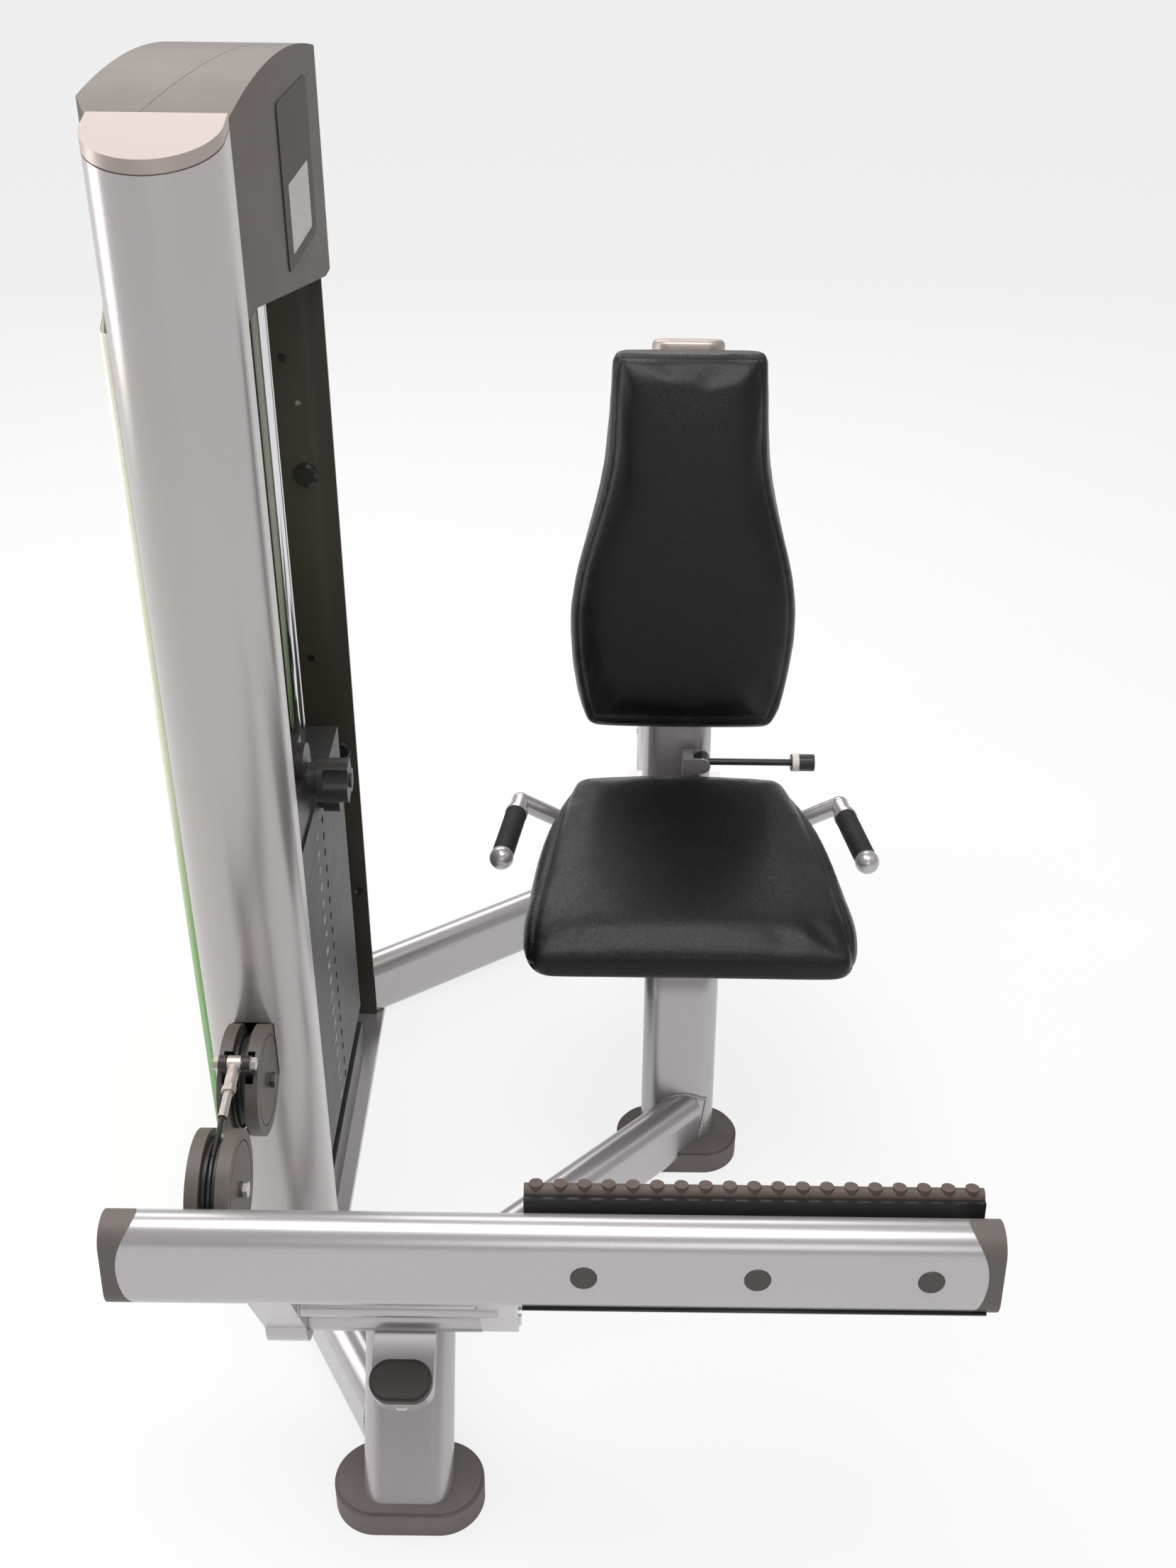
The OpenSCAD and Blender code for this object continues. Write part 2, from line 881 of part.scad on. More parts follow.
module head_plate() {
    color("#2c2b2b")
        translate([column_x, stack_y, head_z])
            difference() {
                translate([-plate_w / 2, -plate_len / 2, 0]) cube([plate_w, plate_len, head_t]);
                for (s = [-1, 1])
                    translate([0, s * rod_gap / 2, -1])
                        cylinder(d = rod_d + 2 * running_gap, h = head_t + 2);
                translate([0, 0, -1]) cylinder(d = stem_d, h = head_t + 2);
                translate([0, 0, head_t / 2]) along_x(0, plate_w, pin_d + 2 * running_gap);
            }
}

module selector_stem() {
    stem_bottom = stack_z - 12;
    color("#c9cbcd")
        difference() {
            translate([column_x, stack_y, 0])
                union() {
                    translate([0, 0, stem_bottom]) cylinder(d = stem_d, h = head_top + 6 - stem_bottom);
                    translate([0, 0, head_top]) cylinder(d = stem_d + 12, h = 14);
                    translate([0, 0, head_top + 14]) cylinder(d = 16, h = socket_top - head_top - 14);
                }
            for (i = [0 : plate_count - 1])
                translate([column_x, stack_y, stack_z + i * plate_pitch + plate_t / 2])
                    along_x(-stem_d, 2 * stem_d, pin_hole);
            translate([column_x, stack_y, head_z + head_t / 2])
                along_x(-stem_d / 2 - 1, stem_d + 2, pin_d + 2 * running_gap);
        }
}

module increment_block() {
    color("#46413f")
        difference() {
            translate([column_x, 0, head_top])
                union() {
                    translate([-block_w / 2, block_y0, 0]) cube([block_w, block_y1 - block_y0, block_h - 30]);
                    translate([-block_w / 2 + 10, block_y0 + 15, 0])
                        cube([block_w - 20, block_y1 - block_y0 - 15, block_h]);
                    translate([0, knob_y, knob_z - head_top])
                        along_x(0, block_w / 2 + 12, knob_d - 12);
                    translate([-block_w / 2, block_y1 - 30, block_h - 30])
                        rotate([0, 90, 0]) cylinder(r = 30, h = block_w);
                }
            translate([column_x - far / 2, block_y1, 0]) cube([far, far, far]);
            guide_rod_places() cylinder(d = rod_d + 8, h = far);
            translate([column_x, stack_y, 0]) cylinder(d = stem_d + 20, h = far);
            translate([0, knob_y, knob_z])
                along_x(column_x + block_w / 2 - 10, 60, 12 + 2 * running_gap);
        }
}

module increment_knob() {
    x0 = column_x + block_w / 2 + 12 + body_gap;
    color("#2f2c2b")
        translate([0, knob_y, knob_z])
            union() {
                along_x(x0 - 20, 22, 12);
                difference() {
                    along_x(x0, knob_len, knob_d);
                    for (i = [0 : knob_lobes - 1])
                        rotate([i * 360 / knob_lobes + 60, 0, 0])
                            translate([0, 0, knob_d / 2 + 8]) along_x(x0 + 8, knob_len, 34);
                }
                along_x(x0 + knob_len - 1, 4, 18);
            }
}

module selector_pin() {
    x1 = column_x + plate_w / 2;
    color("#1a1919")
        translate([0, stack_y, head_z + head_t / 2])
            union() {
                along_x(x1 - pin_reach, pin_reach + 4, pin_d);
                along_x(x1 + body_gap, 5, pin_head_d - 8);
                along_x(x1 + 5, pin_head_len - 5, pin_head_d);
            }
}

module wheel(y, z) {
    color("#1c1b1b")
        translate([pulley_x, y, z])
            rotate([0, 90, 0])
                rotate_extrude()
                    difference() {
                        translate([axle_d / 2 + running_gap, -wheel_w / 2])
                            square([wrap_r + wheel_lip - axle_d / 2 - running_gap, wheel_w]);
                        translate([wrap_r, 0]) circle(d = cable_d + 0.8, $fn = 48);
                        translate([wrap_r, -cable_d / 2 - 0.4])
                            square([wheel_lip + 1, cable_d + 0.8]);
                        for (s = [-1, 1])
                            translate([26, s * (wheel_w / 2 + 1)])
                                square([32, 8], center = true);
                    }
}

// Guard disc with a hub bolt and a pocket for the bracket ear that carries it
module guard(side, y, ear_a) {
    inner = guard_w / 2 - guard_t;
    face = 1.2;
    translate([pulley_x, y, pulley_z])
        difference() {
            union() {
                along_x(side > 0 ? inner : -guard_w / 2, guard_t, guard_d);
                along_x(side > 0 ? inner : -guard_w / 2 - 2, guard_t + 2, axle_d + 4);
            }
            translate([side * guard_w / 2, 0, 0])
                rotate([0, 90, 0])
                    rotate_extrude()
                        translate([guard_d / 2 - 13, -face]) square([1.6, 2 * face]);
            for (a = ear_a)
                rotate([a, 0, 0])
                    translate([side > 0 ? inner - 1 : -inner - ear_t - ear_gap, -ear_r - ear_gap, 0])
                        cube([ear_t + ear_gap + 1, 2 * (ear_r + ear_gap), guard_d]);
            along_x(side > 0 ? inner - 1 : -inner - ear_t - ear_gap, ear_t + ear_gap + 1,
                2 * hub_pocket_r);
            along_x(-guard_w, 2 * guard_w, axle_d);
        }
}

module guards(y, ear_a) {
    color("#55504c")
        for (side = [-1, 1]) guard(side, y, ear_a);
}

// Axle with a hexagon head at each end
module axle(y, z) {
    half = guard_w / 2 + 3;
    translate([pulley_x, y, z])
        union() {
            along_x(-half, 2 * half, axle_d);
            for (s = [-1, 1])
                translate([s > 0 ? half : -half - 5, 0, 0])
                    rotate([0, 90, 0]) cylinder(d = axle_d + 6, h = 5, $fn = 6);
        }
}

module ear_bar(from, to, r) {
    v = to - from;
    translate(from) rotate(atan2(v[1], v[0])) translate([0, -r]) square([norm(v), 2 * r]);
    translate(to) circle(r = r);
}

module ear_pair() {
    inner = guard_w / 2 - guard_t;
    for (side = [-1, 1])
        slab_x(side > 0 ? pulley_x + inner : pulley_x - inner - ear_t, ear_t)
            children();
}

module column_pulley_bracket() {
    hub = [column_pulley_y, pulley_z];
    anchor = [anchor_y, anchor_z];
    color("#2a2929")
        union() {
            difference() {
                ear_pair()
                    difference() {
                        union() {
                            ear_bar([column_arc_y, pulley_z], hub, ear_r);
                            ear_bar(hub, anchor, anchor_r);
                        }
                        translate(anchor) circle(d = anchor_d);
                    }
                column_body_cut();
            }
            axle(column_pulley_y, pulley_z);
        }
}

// Keeps the bracket ears out of the column's wall, open at the guards' relief
module column_body_cut() {
    difference() {
        translate([0, 0, base_t]) column_core(0);
        translate([0, 0, base_t - 1]) column_core(-column_wall);
        guard_space(column_pulley_y);
    }
    translate([column_x - far / 2, column_y0 + guard_depth_in, 0]) cube([far, far, far]);
}

guard_depth_in = column_pulley_y + guard_d / 2 + 1.5 - column_y0;

module column_pulley_guards() {
    guards(column_pulley_y, [-90, anchor_turn]);
}

anchor_turn = atan2(anchor_z - pulley_z, anchor_y - column_pulley_y) - 90;

module column_pulley_wheel() {
    wheel(column_pulley_y, pulley_z);
}

module bar_place() {
    translate([bar_x, bar_y, bar_z]) rotate([-bar_lean, 0, 0]) children();
}

module bar_core(w, t, len) {
    bar_place()
        translate([-len / 2, 0, 0])
            rotate([90, 0, 90]) linear_extrude(len) rotate(90) oval(w, t);
}

module arm_pulley_bracket() {
    hub = [arm_pulley_y, pulley_z];
    foot = [bar_y, bar_z + 10];
    color("#b4b3b6")
        union() {
            difference() {
                ear_pair() ear_bar(foot, hub, ear_r);
                bar_core(tube_w, tube_t, bar_len);
                bar_place() translate([-bar_len, -far, -far / 2]) cube([2 * bar_len, far, far]);
            }
            axle(arm_pulley_y, pulley_z);
        }
}

module arm_pulley_guards() {
    guards(arm_pulley_y, [atan2(bar_z + 10 - pulley_z, bar_y - arm_pulley_y) - 90]);
}

module arm_pulley_wheel() {
    wheel(arm_pulley_y, pulley_z);
}

module top_pulley_bracket() {
    cheek_t = 4;
    edge = 18;
    foot_rise = 16;
    gap = wheel_w / 2 + 1.5;
    z0 = top_beam_z + top_beam_t;
    color("#3b3a3a")
        union() {
            for (side = [-1, 1])
                slab_x(side > 0 ? pulley_x + gap : pulley_x - gap - cheek_t, cheek_t)
                    union() {
                        translate([top_front_y - edge, z0 + foot_rise - 2])
                            square([top_rear_y - top_front_y + 2 * edge, top_pulley_z - z0]);
                        translate([column_y1 + 2, z0])
                            square([top_rear_y + edge - column_y1 - 2, foot_rise]);
                    }
            for (y = [top_front_y, top_rear_y])
                translate([pulley_x, y, top_pulley_z])
                    along_x(-gap - cheek_t - 4, 2 * (gap + cheek_t + 4), axle_d);
        }
}

module top_wheel_front() {
    wheel(top_front_y, top_pulley_z);
}

module top_wheel_rear() {
    wheel(top_rear_y, top_pulley_z);
}

// Cable laid round a wheel from one angle to another, seen from the seat side
module cable_wrap(y, z, a0, a1) {
    translate([pulley_x, y, z])
        rotate([90, 0, 90])
            rotate([0, 0, a0])
                rotate_extrude(angle = a1 - a0)
                    translate([wrap_r, 0]) circle(d = cable_d, $fn = 32);
}

module lead_place() {
    translate([pulley_x, anchor_y, anchor_z]) rotate([lead_a - 90, 0, 0]) children();
}

module cable_clevis() {
    color("#cbb8a8")
        lead_place()
            union() {
                difference() {
                    union() {
                        along_x(-clevis_w / 2, clevis_w, 2 * anchor_r);
                        cylinder(d1 = clevis_w, d2 = 13, h = clevis_len);
                    }
                    along_x(-clevis_w, 2 * clevis_w, anchor_d);
                }
                translate([0, 0, clevis_len]) cylinder(d = 16, h = ferrule_nut, $fn = 6);
                translate([0, 0, clevis_len + ferrule_nut]) cylinder(d = ferrule_d, h = ferrule_len);
                along_x(-guard_w / 2 + 3, guard_w - 6, anchor_d);
                for (s = [-1, 1])
                    translate([s > 0 ? ear_far : -ear_far - 6, 0, 0])
                        rotate([0, 90, 0]) cylinder(d = 15, h = 6, $fn = 6);
            }
}

ear_far = guard_w / 2 - guard_t + ear_t;

module cable_arm() {
    color("#141414")
        union() {
            lead_place()
                translate([0, 0, fixed_len]) cylinder(d = cable_d, h = lead_len - fixed_len - body_gap);
            cable_wrap(arm_pulley_y, pulley_z, touch_a, 180);
            cable_wrap(arm_pulley_y, pulley_z, 180, 270);
            rod([pulley_x, arm_pulley_y, pulley_z - wrap_r],
                [pulley_x, column_pulley_y, pulley_z - wrap_r], cable_d);
        }
}

module cable_column() {
    color("#141414")
        union() {
            cable_wrap(column_pulley_y, pulley_z, 270, 360);
            rod([pulley_x, column_pulley_y + wrap_r, pulley_z],
                [pulley_x, column_pulley_y + wrap_r, top_pulley_z], cable_d);
            cable_wrap(top_front_y, top_pulley_z, 90, 180);
            rod([pulley_x, top_front_y, top_pulley_z + wrap_r],
                [pulley_x, top_rear_y, top_pulley_z + wrap_r], cable_d);
            cable_wrap(top_rear_y, top_pulley_z, 0, 90);
        }
}

module cable_stack() {
    color("#141414")
        rod([pulley_x, stack_y, socket_top], [pulley_x, stack_y, top_pulley_z], cable_d);
}

module arm_side(x0, w, r, reach) {
    v = [bar_y, bar_z] - [pivot_y, pivot_z];
    slab_x(x0, w)
        difference() {
            union() {
                translate([pivot_y, pivot_z]) circle(r = r);
                translate([pivot_y, pivot_z])
                    rotate(atan2(v[1], v[0])) translate([0, -r]) square([norm(v), 2 * r - reach]);
            }
            translate([pivot_y, pivot_z]) circle(d = shaft_d);
        }
}

module press_arm_weldment() {
    cross_x1 = arm_right_x0 + arm_right_w / 2;
    color("#b4b3b6")
        union() {
            bar_tube();
            difference() {
                union() {
                    arm_side(arm_left_x0, arm_left_w, arm_left_r, 8);
                    arm_side(arm_right_x0, arm_right_w, arm_right_r, 0);
                    translate([0, cross_y, cross_z])
                        along_x(arm_left_x0 + arm_left_w / 2,
                            cross_x1 - arm_left_x0 - arm_left_w / 2, cross_d);
                }
                bar_core(tube_w - tube_wall, tube_t - tube_wall, bar_len);
                bar_place() translate([-far / 2, -far, 0]) cube([far, far, far]);
            }
        }
}

module bar_end_zone(side) {
    end_x = side * bar_len / 2;
    mid_x = end_x - side * (cap_mid + cap_arc_r);
    bar_place()
        difference() {
            translate([side > 0 ? mid_x : end_x - 1, -tube_w, -tube_w])
                cube([abs(end_x - mid_x) + 1, 2 * tube_w, 2 * tube_w]);
            translate([mid_x, 0, 0])
                rotate([90, 0, 0]) cylinder(r = cap_arc_r, h = 4 * tube_w, center = true, $fn = 128);
        }
}

module bar_tube() {
    difference() {
        bar_core(tube_w, tube_t, bar_len);
        bar_core(tube_w - 2 * tube_wall, tube_t - 2 * tube_wall, bar_len + 2);
        for (side = [-1, 1]) bar_end_zone(side);
        plug_places() rotate([90, 0, 0]) cylinder(d = plug_d - 8, h = tube_t);
    }
}

module plug_places() {
    bar_place()
        for (i = [0 : plug_count - 1]) translate([plug_first + i * plug_step - bar_x, 0, 0]) children();
}

module bar_end_caps() {
    color("#6b625e")
        for (side = [-1, 1])
            intersection() {
                bar_core(tube_w, tube_t, bar_len);
                bar_end_zone(side);
            }
}

module bar_plugs() {
    color("#57504d")
        plug_places()
            rotate([90, 0, 0])
                union() {
                    translate([0, 0, tube_t / 2]) cylinder(d1 = plug_d, d2 = plug_d - 3, h = plug_head);
                    translate([0, 0, tube_t / 2 - tube_wall - 3])
                        cylinder(d = plug_d - 8, h = tube_wall + 3.5);
                }
}

module tread_outline(inset) {
    t = tread_t - 2 * inset;
    h = tread_h - 2 * inset;
    translate([-t / 2, -h / 2]) square([t, h - t / 2]);
    translate([0, h / 2 - t / 2]) circle(d = t);
}

module foot_plate() {
    color("#2a2726")
        bar_place()
            translate([tread_x0 - bar_x, tube_t / 2, -tread_h / 2])
                cube([tread_len, foot_plate_t, tread_h - tread_t / 2]);
}

module foot_tread() {
    mid_y = tube_t / 2 + foot_plate_t + tread_t / 2;
    pitch = tread_len / stud_count;
    color("#544a45")
        bar_place()
            union() {
                translate([tread_x0 - bar_x, mid_y, 0])
                    rotate([90, 0, 90]) linear_extrude(tread_len) tread_outline(0);
                for (i = [0 : stud_count - 1])
                    translate([tread_x0 - bar_x + (i + 0.5) * pitch, mid_y, tread_h / 2 - 6])
                        cylinder(d = stud_d - 4, h = 6 + stud_h - 1);
                for (k = [-1 : 1])
                    translate([tread_x0 - bar_x, mid_y + tread_t / 2 - 1, k * 34])
                        rotate([90, 0, 90]) linear_extrude(tread_len) circle(r = tread_rib + 1, $fn = 24);
            }
}

module pivot_shaft() {
    color("#c4c5c8")
        translate([0, pivot_y, pivot_z])
            union() {
                along_x(arm_left_x0, arm_right_x0 + arm_right_w - arm_left_x0, shaft_d);
                along_x(arm_left_x0 - 3, 3, shaft_d + 10);
                along_x(arm_right_x0 + arm_right_w, 3, shaft_d + 10);
            }
}

module seat_carriage() {
    len = sleeve_y1 - sleeve_y0;
    color("#a9a9ad")
        difference() {
            union() {
                translate([seat_x, sleeve_y0, rail_z])
                    rotate([-90, 0, 0])
                        linear_extrude(len)
                            oval(tube_w + 2 * (body_gap + sleeve_wall), tube_t + 2 * (body_gap + sleeve_wall));
                translate([seat_x - deck_w / 2, sleeve_y0, deck_z - 3]) cube([deck_w, len, deck_t + 3]);
                translate([seat_x - deck_nose_w / 2, sleeve_y0 - deck_nose, deck_z])
                    cube([deck_nose_w, deck_nose + 1, deck_t]);
                lever_casting();
            }
            translate([seat_x, sleeve_y0 - 1, rail_z])
                rotate([-90, 0, 0])
                    linear_extrude(len + 2) oval(tube_w + 2 * body_gap, tube_t + 2 * body_gap);
        }
}

// Casting beside the back post, with two ears and a pin that carry the lever
module lever_casting() {
    ear = 4;
    half = hub_len / 2 + body_gap;
    x0 = lever_x - 28;
    translate([x0, lever_y - half - ear, board_z - 1])
        cube([15, 2 * (half + ear), lever_z + hub_r - board_z + 1]);
    translate([x0, lever_y - half - ear, board_z - 1])
        cube([15, back_post_front(board_z) - lever_y + half + ear, 40]);
    for (y = [lever_y - half - ear, lever_y + half])
        translate([x0, y, lever_z - hub_r])
            union() {
                cube([28, ear, 2 * hub_r]);
                translate([28, ear, hub_r]) rotate([90, 0, 0]) cylinder(r = hub_r, h = ear);
            }
    translate([lever_x, lever_y + half + ear / 2, lever_z])
        rotate([90, 0, 0]) cylinder(d = hub_pin_d, h = 2 * half + ear);
}

function back_post_front(z) = back_y + (back_post_off - tube_t / 2) / cos(recline)
    + (z - back_z) * tan(recline) - 3;

// Half width of the seat board and pad at a share of their length from the front edge
function seat_half(v) = seat_w / 2 * (1 - 0.336 * pow(max(0, (v - 0.2) / 0.8), 1.25)
    - 0.05 * pow(max(0, (0.2 - v) / 0.2), 2));
// Half width of the back pad at a share of its length from the bottom edge
function back_half(v) = v < 0.3
    ? back_w / 2 * (0.87 + 0.13 * sin(v / 0.3 * 90))
    : v < 0.78
        ? back_w / 2 * (0.85 + 0.15 * cos((v - 0.3) / 0.48 * 180))
        : back_w / 2 * (0.70 - 0.015 * (v - 0.78) / 0.22);
function round_end(v, n) = pow(max(0, 1 - pow(abs(2 * v - 1), n)), 1 / n);

pad_stations = 30;
ring_side = 4;
seam_front = 205;
seam_back = 140;
seam_dip = 3;
seam_half = 7;
seam_edge = 12;

// Shares of the length where the pad's rings lie, closer at both ends
function station(i) = (1 - cos(180 * (i + 0.35) / (pad_stations - 0.3))) / 2;

// One ring of a pad as points across it and up, from the lower left, over the top, to the lower right
function pad_ring(half, thick, crown, seam) =
    let (s = min(seam, half - seam_edge))
    concat(
        [[-half * 0.93, 0]],
        [for (k = [1 : ring_side]) [-half + half * 0.035 * pow(2 * k / (ring_side + 1) - 1, 2),
            thick * (0.1 + 0.62 * k / (ring_side + 1))]],
        [for (x = pad_top_x(half, s)) [x, pad_top_z(x, half, thick, crown, s)]],
        [for (k = [ring_side : -1 : 1]) [half - half * 0.035 * pow(2 * k / (ring_side + 1) - 1, 2),
            thick * (0.1 + 0.62 * k / (ring_side + 1))]],
        [[half * 0.93, 0]]
    );
function pad_top_x(half, s) = [
    -half * 0.97, -(half + s) / 2, -s - seam_half, -s, -s + seam_half,
    -s * 0.72, -s * 0.42, -s * 0.14, s * 0.14, s * 0.42, s * 0.72,
    s - seam_half, s, s + seam_half, (half + s) / 2, half * 0.97
];
function pad_top_z(x, half, thick, crown, s) =
    thick * (0.74 + 0.26 * sqrt(max(0, 1 - pow(abs(x) / half, 6))))
    + crown * (1 - pow(x / half, 2))
    - (abs(abs(x) - s) < 1 ? seam_dip : 0);

// Closed pad lofted through its rings, lying along Y from its front edge
module loft(rings) {
    n = len(rings[0]);
    m = len(rings);
    points = concat([for (r = rings, p = r) p], [centre(rings[0]), centre(rings[m - 1])]);
    sides = [for (i = [0 : m - 2], j = [0 : n - 1])
        let (k = (j + 1) % n, a = i * n + j, b = i * n + k, c = (i + 1) * n + k, d = (i + 1) * n + j)
        each [[a, b, c], [a, c, d]]];
    front = [for (j = [0 : n - 1]) [m * n, (j + 1) % n, j]];
    back = [for (j = [0 : n - 1]) [m * n + 1, (m - 1) * n + j, (m - 1) * n + (j + 1) % n]];
    polyhedron(points = points, faces = concat(sides, front, back));
}
function centre(ring) = [for (k = [0 : 2]) mean([for (p = ring) p[k]])];
function mean(list) = total(list) / len(list);
function total(list, i = 0) = i == len(list) ? 0 : list[i] + total(list, i + 1);

seat_thick = seat_top - pad_z - 8;
seat_crown = 8;

module seat_pad() {
    rings = [for (i = [0 : pad_stations - 1])
        let (v = station(i), e = round_end(v, 9), f = round_end(v, 5),
            half = seat_half(v) * (0.72 + 0.28 * e),
            dip = v < 0.12 ? 6 * (0.12 - v) / 0.12 : 0)
        [for (p = pad_ring(half, seat_thick * f, seat_crown * f, seam_front - (seam_front - seam_back) * v))
            [seat_x + p[0], seat_y0 + v * seat_len, pad_z + 0.3 + seat_thick * 0.3 * (1 - f)
                + p[1] - dip * (1 - pow(p[0] / half, 2)) * (p[1] > 5 ? 1 : 0)]]];
    color("#1d1c1d") loft(rings);
}

module seat_board() {
    inset = 22;
    steps = 20;
    ys = [for (i = [0 : steps]) i / steps];
    right = [for (v = ys) [seat_x + seat_half(v) * (0.8 + 0.2 * round_end(v, 9)) - inset,
        seat_y0 + inset + v * (seat_len - 2 * inset)]];
    left = [for (i = [steps : -1 : 0]) let (v = ys[i])
        [seat_x - seat_half(v) * (0.8 + 0.2 * round_end(v, 9)) + inset,
        seat_y0 + inset + v * (seat_len - 2 * inset)]];
    color("#2a2523")
        translate([0, 0, board_z]) linear_extrude(board_t) polygon(concat(right, left));
}

// Frame of the back: X across, Y away from the user, Z up along the back pad
module back_place() {
    translate([seat_x, back_y, back_z]) rotate([-recline, 0, 0]) children();
}

module back_pad() {
    pad_body = back_t - 6;
    rings = [for (i = [0 : pad_stations - 1])
        let (v = station(i), e = round_end(v, 8), f = round_end(v, 5),
            half = back_half(v) * (0.66 + 0.34 * e))
        [for (p = pad_ring(half, pad_body * f, 6 * f, half - 14))
            [p[0], back_t - pad_body * 0.3 * (1 - f) - p[1], v * back_len]]];
    color("#1b1a1b") back_place() loft([for (r = rings) [for (i = [len(r) - 1 : -1 : 0]) r[i]]]);
}

module back_board() {
    steps = 24;
    inset = 20;
    ys = [for (i = [0 : steps]) i / steps];
    right = [for (v = ys) [back_half(v) * (0.75 + 0.25 * round_end(v, 8)) - inset,
        inset + v * (back_len - 2 * inset)]];
    left = [for (i = [steps : -1 : 0]) [-right[i][0], right[i][1]]];
    back_place()
        translate([0, back_t + back_board_t + body_gap, 0])
            rotate([90, 0, 0]) linear_extrude(back_board_t) polygon(concat(right, left));
}

module back_post() {
    len = (back_post_z1 - back_z) / cos(recline);
    down = (back_z - deck_z) / cos(recline) + 40;
    mid_y = back_post_off + body_gap;
    color("#b9b7ba")
        union() {
            difference() {
                back_place()
                    translate([0, mid_y, -down])
                        linear_extrude(len + down - 6) oval_ring(tube_w, tube_t, tube_wall);
                translate([0, 0, board_z - far]) translate([-far / 2, -far / 2, 0]) cube([far, far, far]);
            }
            back_place() translate([0, mid_y, len - 6]) linear_extrude(6) oval(tube_w, tube_t);
            back_board();
        }
}

module handle_side(s) {
    elbow = [s * elbow_x, elbow_y, elbow_z];
    inner = [s * inner_x, inner_y, inner_z];
    tip = [s * grip_end_x, grip_end_y, grip_end_z];
    root = [s * deck_w / 2, inner_y, inner_z];
    along = unit(tip - elbow);
    translate([seat_x, 0, 0]) {
        rod(root, inner, handle_d);
        translate(inner) sphere(d = handle_d + elbow_swell);
        rod(inner, elbow, handle_d);
        translate(elbow) sphere(d = handle_d + elbow_swell);
        rod(elbow, elbow + 30 * along, handle_d);
        rod(elbow + 29 * along, elbow + 36 * along, grip_d + 3);
        rod(elbow + 35 * along, tip - 8 * along, grip_d);
        translate(tip - 6 * along) sphere(d = grip_d + 4);
    }
}

module handles() {
    color("#2a2828")
        union() for (s = [-1, 1]) handle_side(s);
}

module seat_lever() {
    color("#1b1a1a")
        translate([0, lever_y, lever_z])
            difference() {
                union() {
                    translate([lever_x, hub_len / 2, 0])
                        rotate([90, 0, 0]) cylinder(r = hub_r - 1, h = hub_len);
                    along_x(lever_x, lever_len, lever_d);
                    along_x(lever_x + lever_len, lever_knob_len, knob_ball);
                }
                translate([lever_x, hub_len, 0])
                    rotate([90, 0, 0]) cylinder(d = hub_pin_d + 2 * running_gap, h = 2 * hub_len);
            }
}

front_foot();
front_post();
pivot_housing();
pivot_bushes();
bumper_bracket();
stop_bumper();
base_tube_front();
base_tube_seat();
base_tube_rear();
seat_leg();
seat_rail();
seat_feet();
rear_leg();
rail_cap();
tower_base();
tower_column();
column_cap();
rear_upright();
rear_panel();
panel_caps();
left_cover();
shroud_left();
shroud_right();
placard();
top_beam();
guide_rods();
stack_bolster();
stack_bumpers();
weight_plates();
head_plate();
selector_stem();
increment_block();
increment_knob();
selector_pin();
column_pulley_bracket();
column_pulley_guards();
column_pulley_wheel();
arm_pulley_bracket();
arm_pulley_guards();
arm_pulley_wheel();
top_pulley_bracket();
top_wheel_front();
top_wheel_rear();
cable_clevis();
cable_arm();
cable_column();
cable_stack();
press_arm_weldment();
pivot_shaft();
bar_end_caps();
bar_plugs();
foot_plate();
foot_tread();
seat_carriage();
seat_board();
seat_pad();
back_post();
back_pad();
handles();
seat_lever();
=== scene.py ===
"""Dresses the seated calf raise machine: paint, rubber, cast parts, cable and upholstery."""
import math

import bmesh
import bpy
from mathutils import Matrix, Vector


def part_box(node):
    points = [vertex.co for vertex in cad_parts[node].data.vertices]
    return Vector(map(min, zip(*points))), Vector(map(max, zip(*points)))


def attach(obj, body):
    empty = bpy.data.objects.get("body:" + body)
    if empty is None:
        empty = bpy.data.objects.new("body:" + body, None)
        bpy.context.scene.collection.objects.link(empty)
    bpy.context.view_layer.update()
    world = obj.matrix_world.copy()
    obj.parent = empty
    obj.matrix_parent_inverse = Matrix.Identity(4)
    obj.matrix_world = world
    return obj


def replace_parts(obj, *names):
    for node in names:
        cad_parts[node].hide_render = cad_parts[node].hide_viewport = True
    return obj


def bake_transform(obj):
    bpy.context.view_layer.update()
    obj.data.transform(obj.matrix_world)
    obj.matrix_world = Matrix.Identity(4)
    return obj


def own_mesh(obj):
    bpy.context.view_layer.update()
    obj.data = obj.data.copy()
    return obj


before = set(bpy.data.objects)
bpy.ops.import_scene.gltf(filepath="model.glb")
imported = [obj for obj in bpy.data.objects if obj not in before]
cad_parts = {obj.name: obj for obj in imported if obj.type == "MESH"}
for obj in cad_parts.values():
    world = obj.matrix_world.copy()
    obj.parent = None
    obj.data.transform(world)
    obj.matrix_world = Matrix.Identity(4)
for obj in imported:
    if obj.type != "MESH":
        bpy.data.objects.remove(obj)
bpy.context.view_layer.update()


# ---------------------------------------------------------------------------
# Viewpoint and room. The picture is taken standing in front of the foot bar, at eye height and
# looking down, over a plain pale floor under broad soft lamps above, behind, in front and beside.

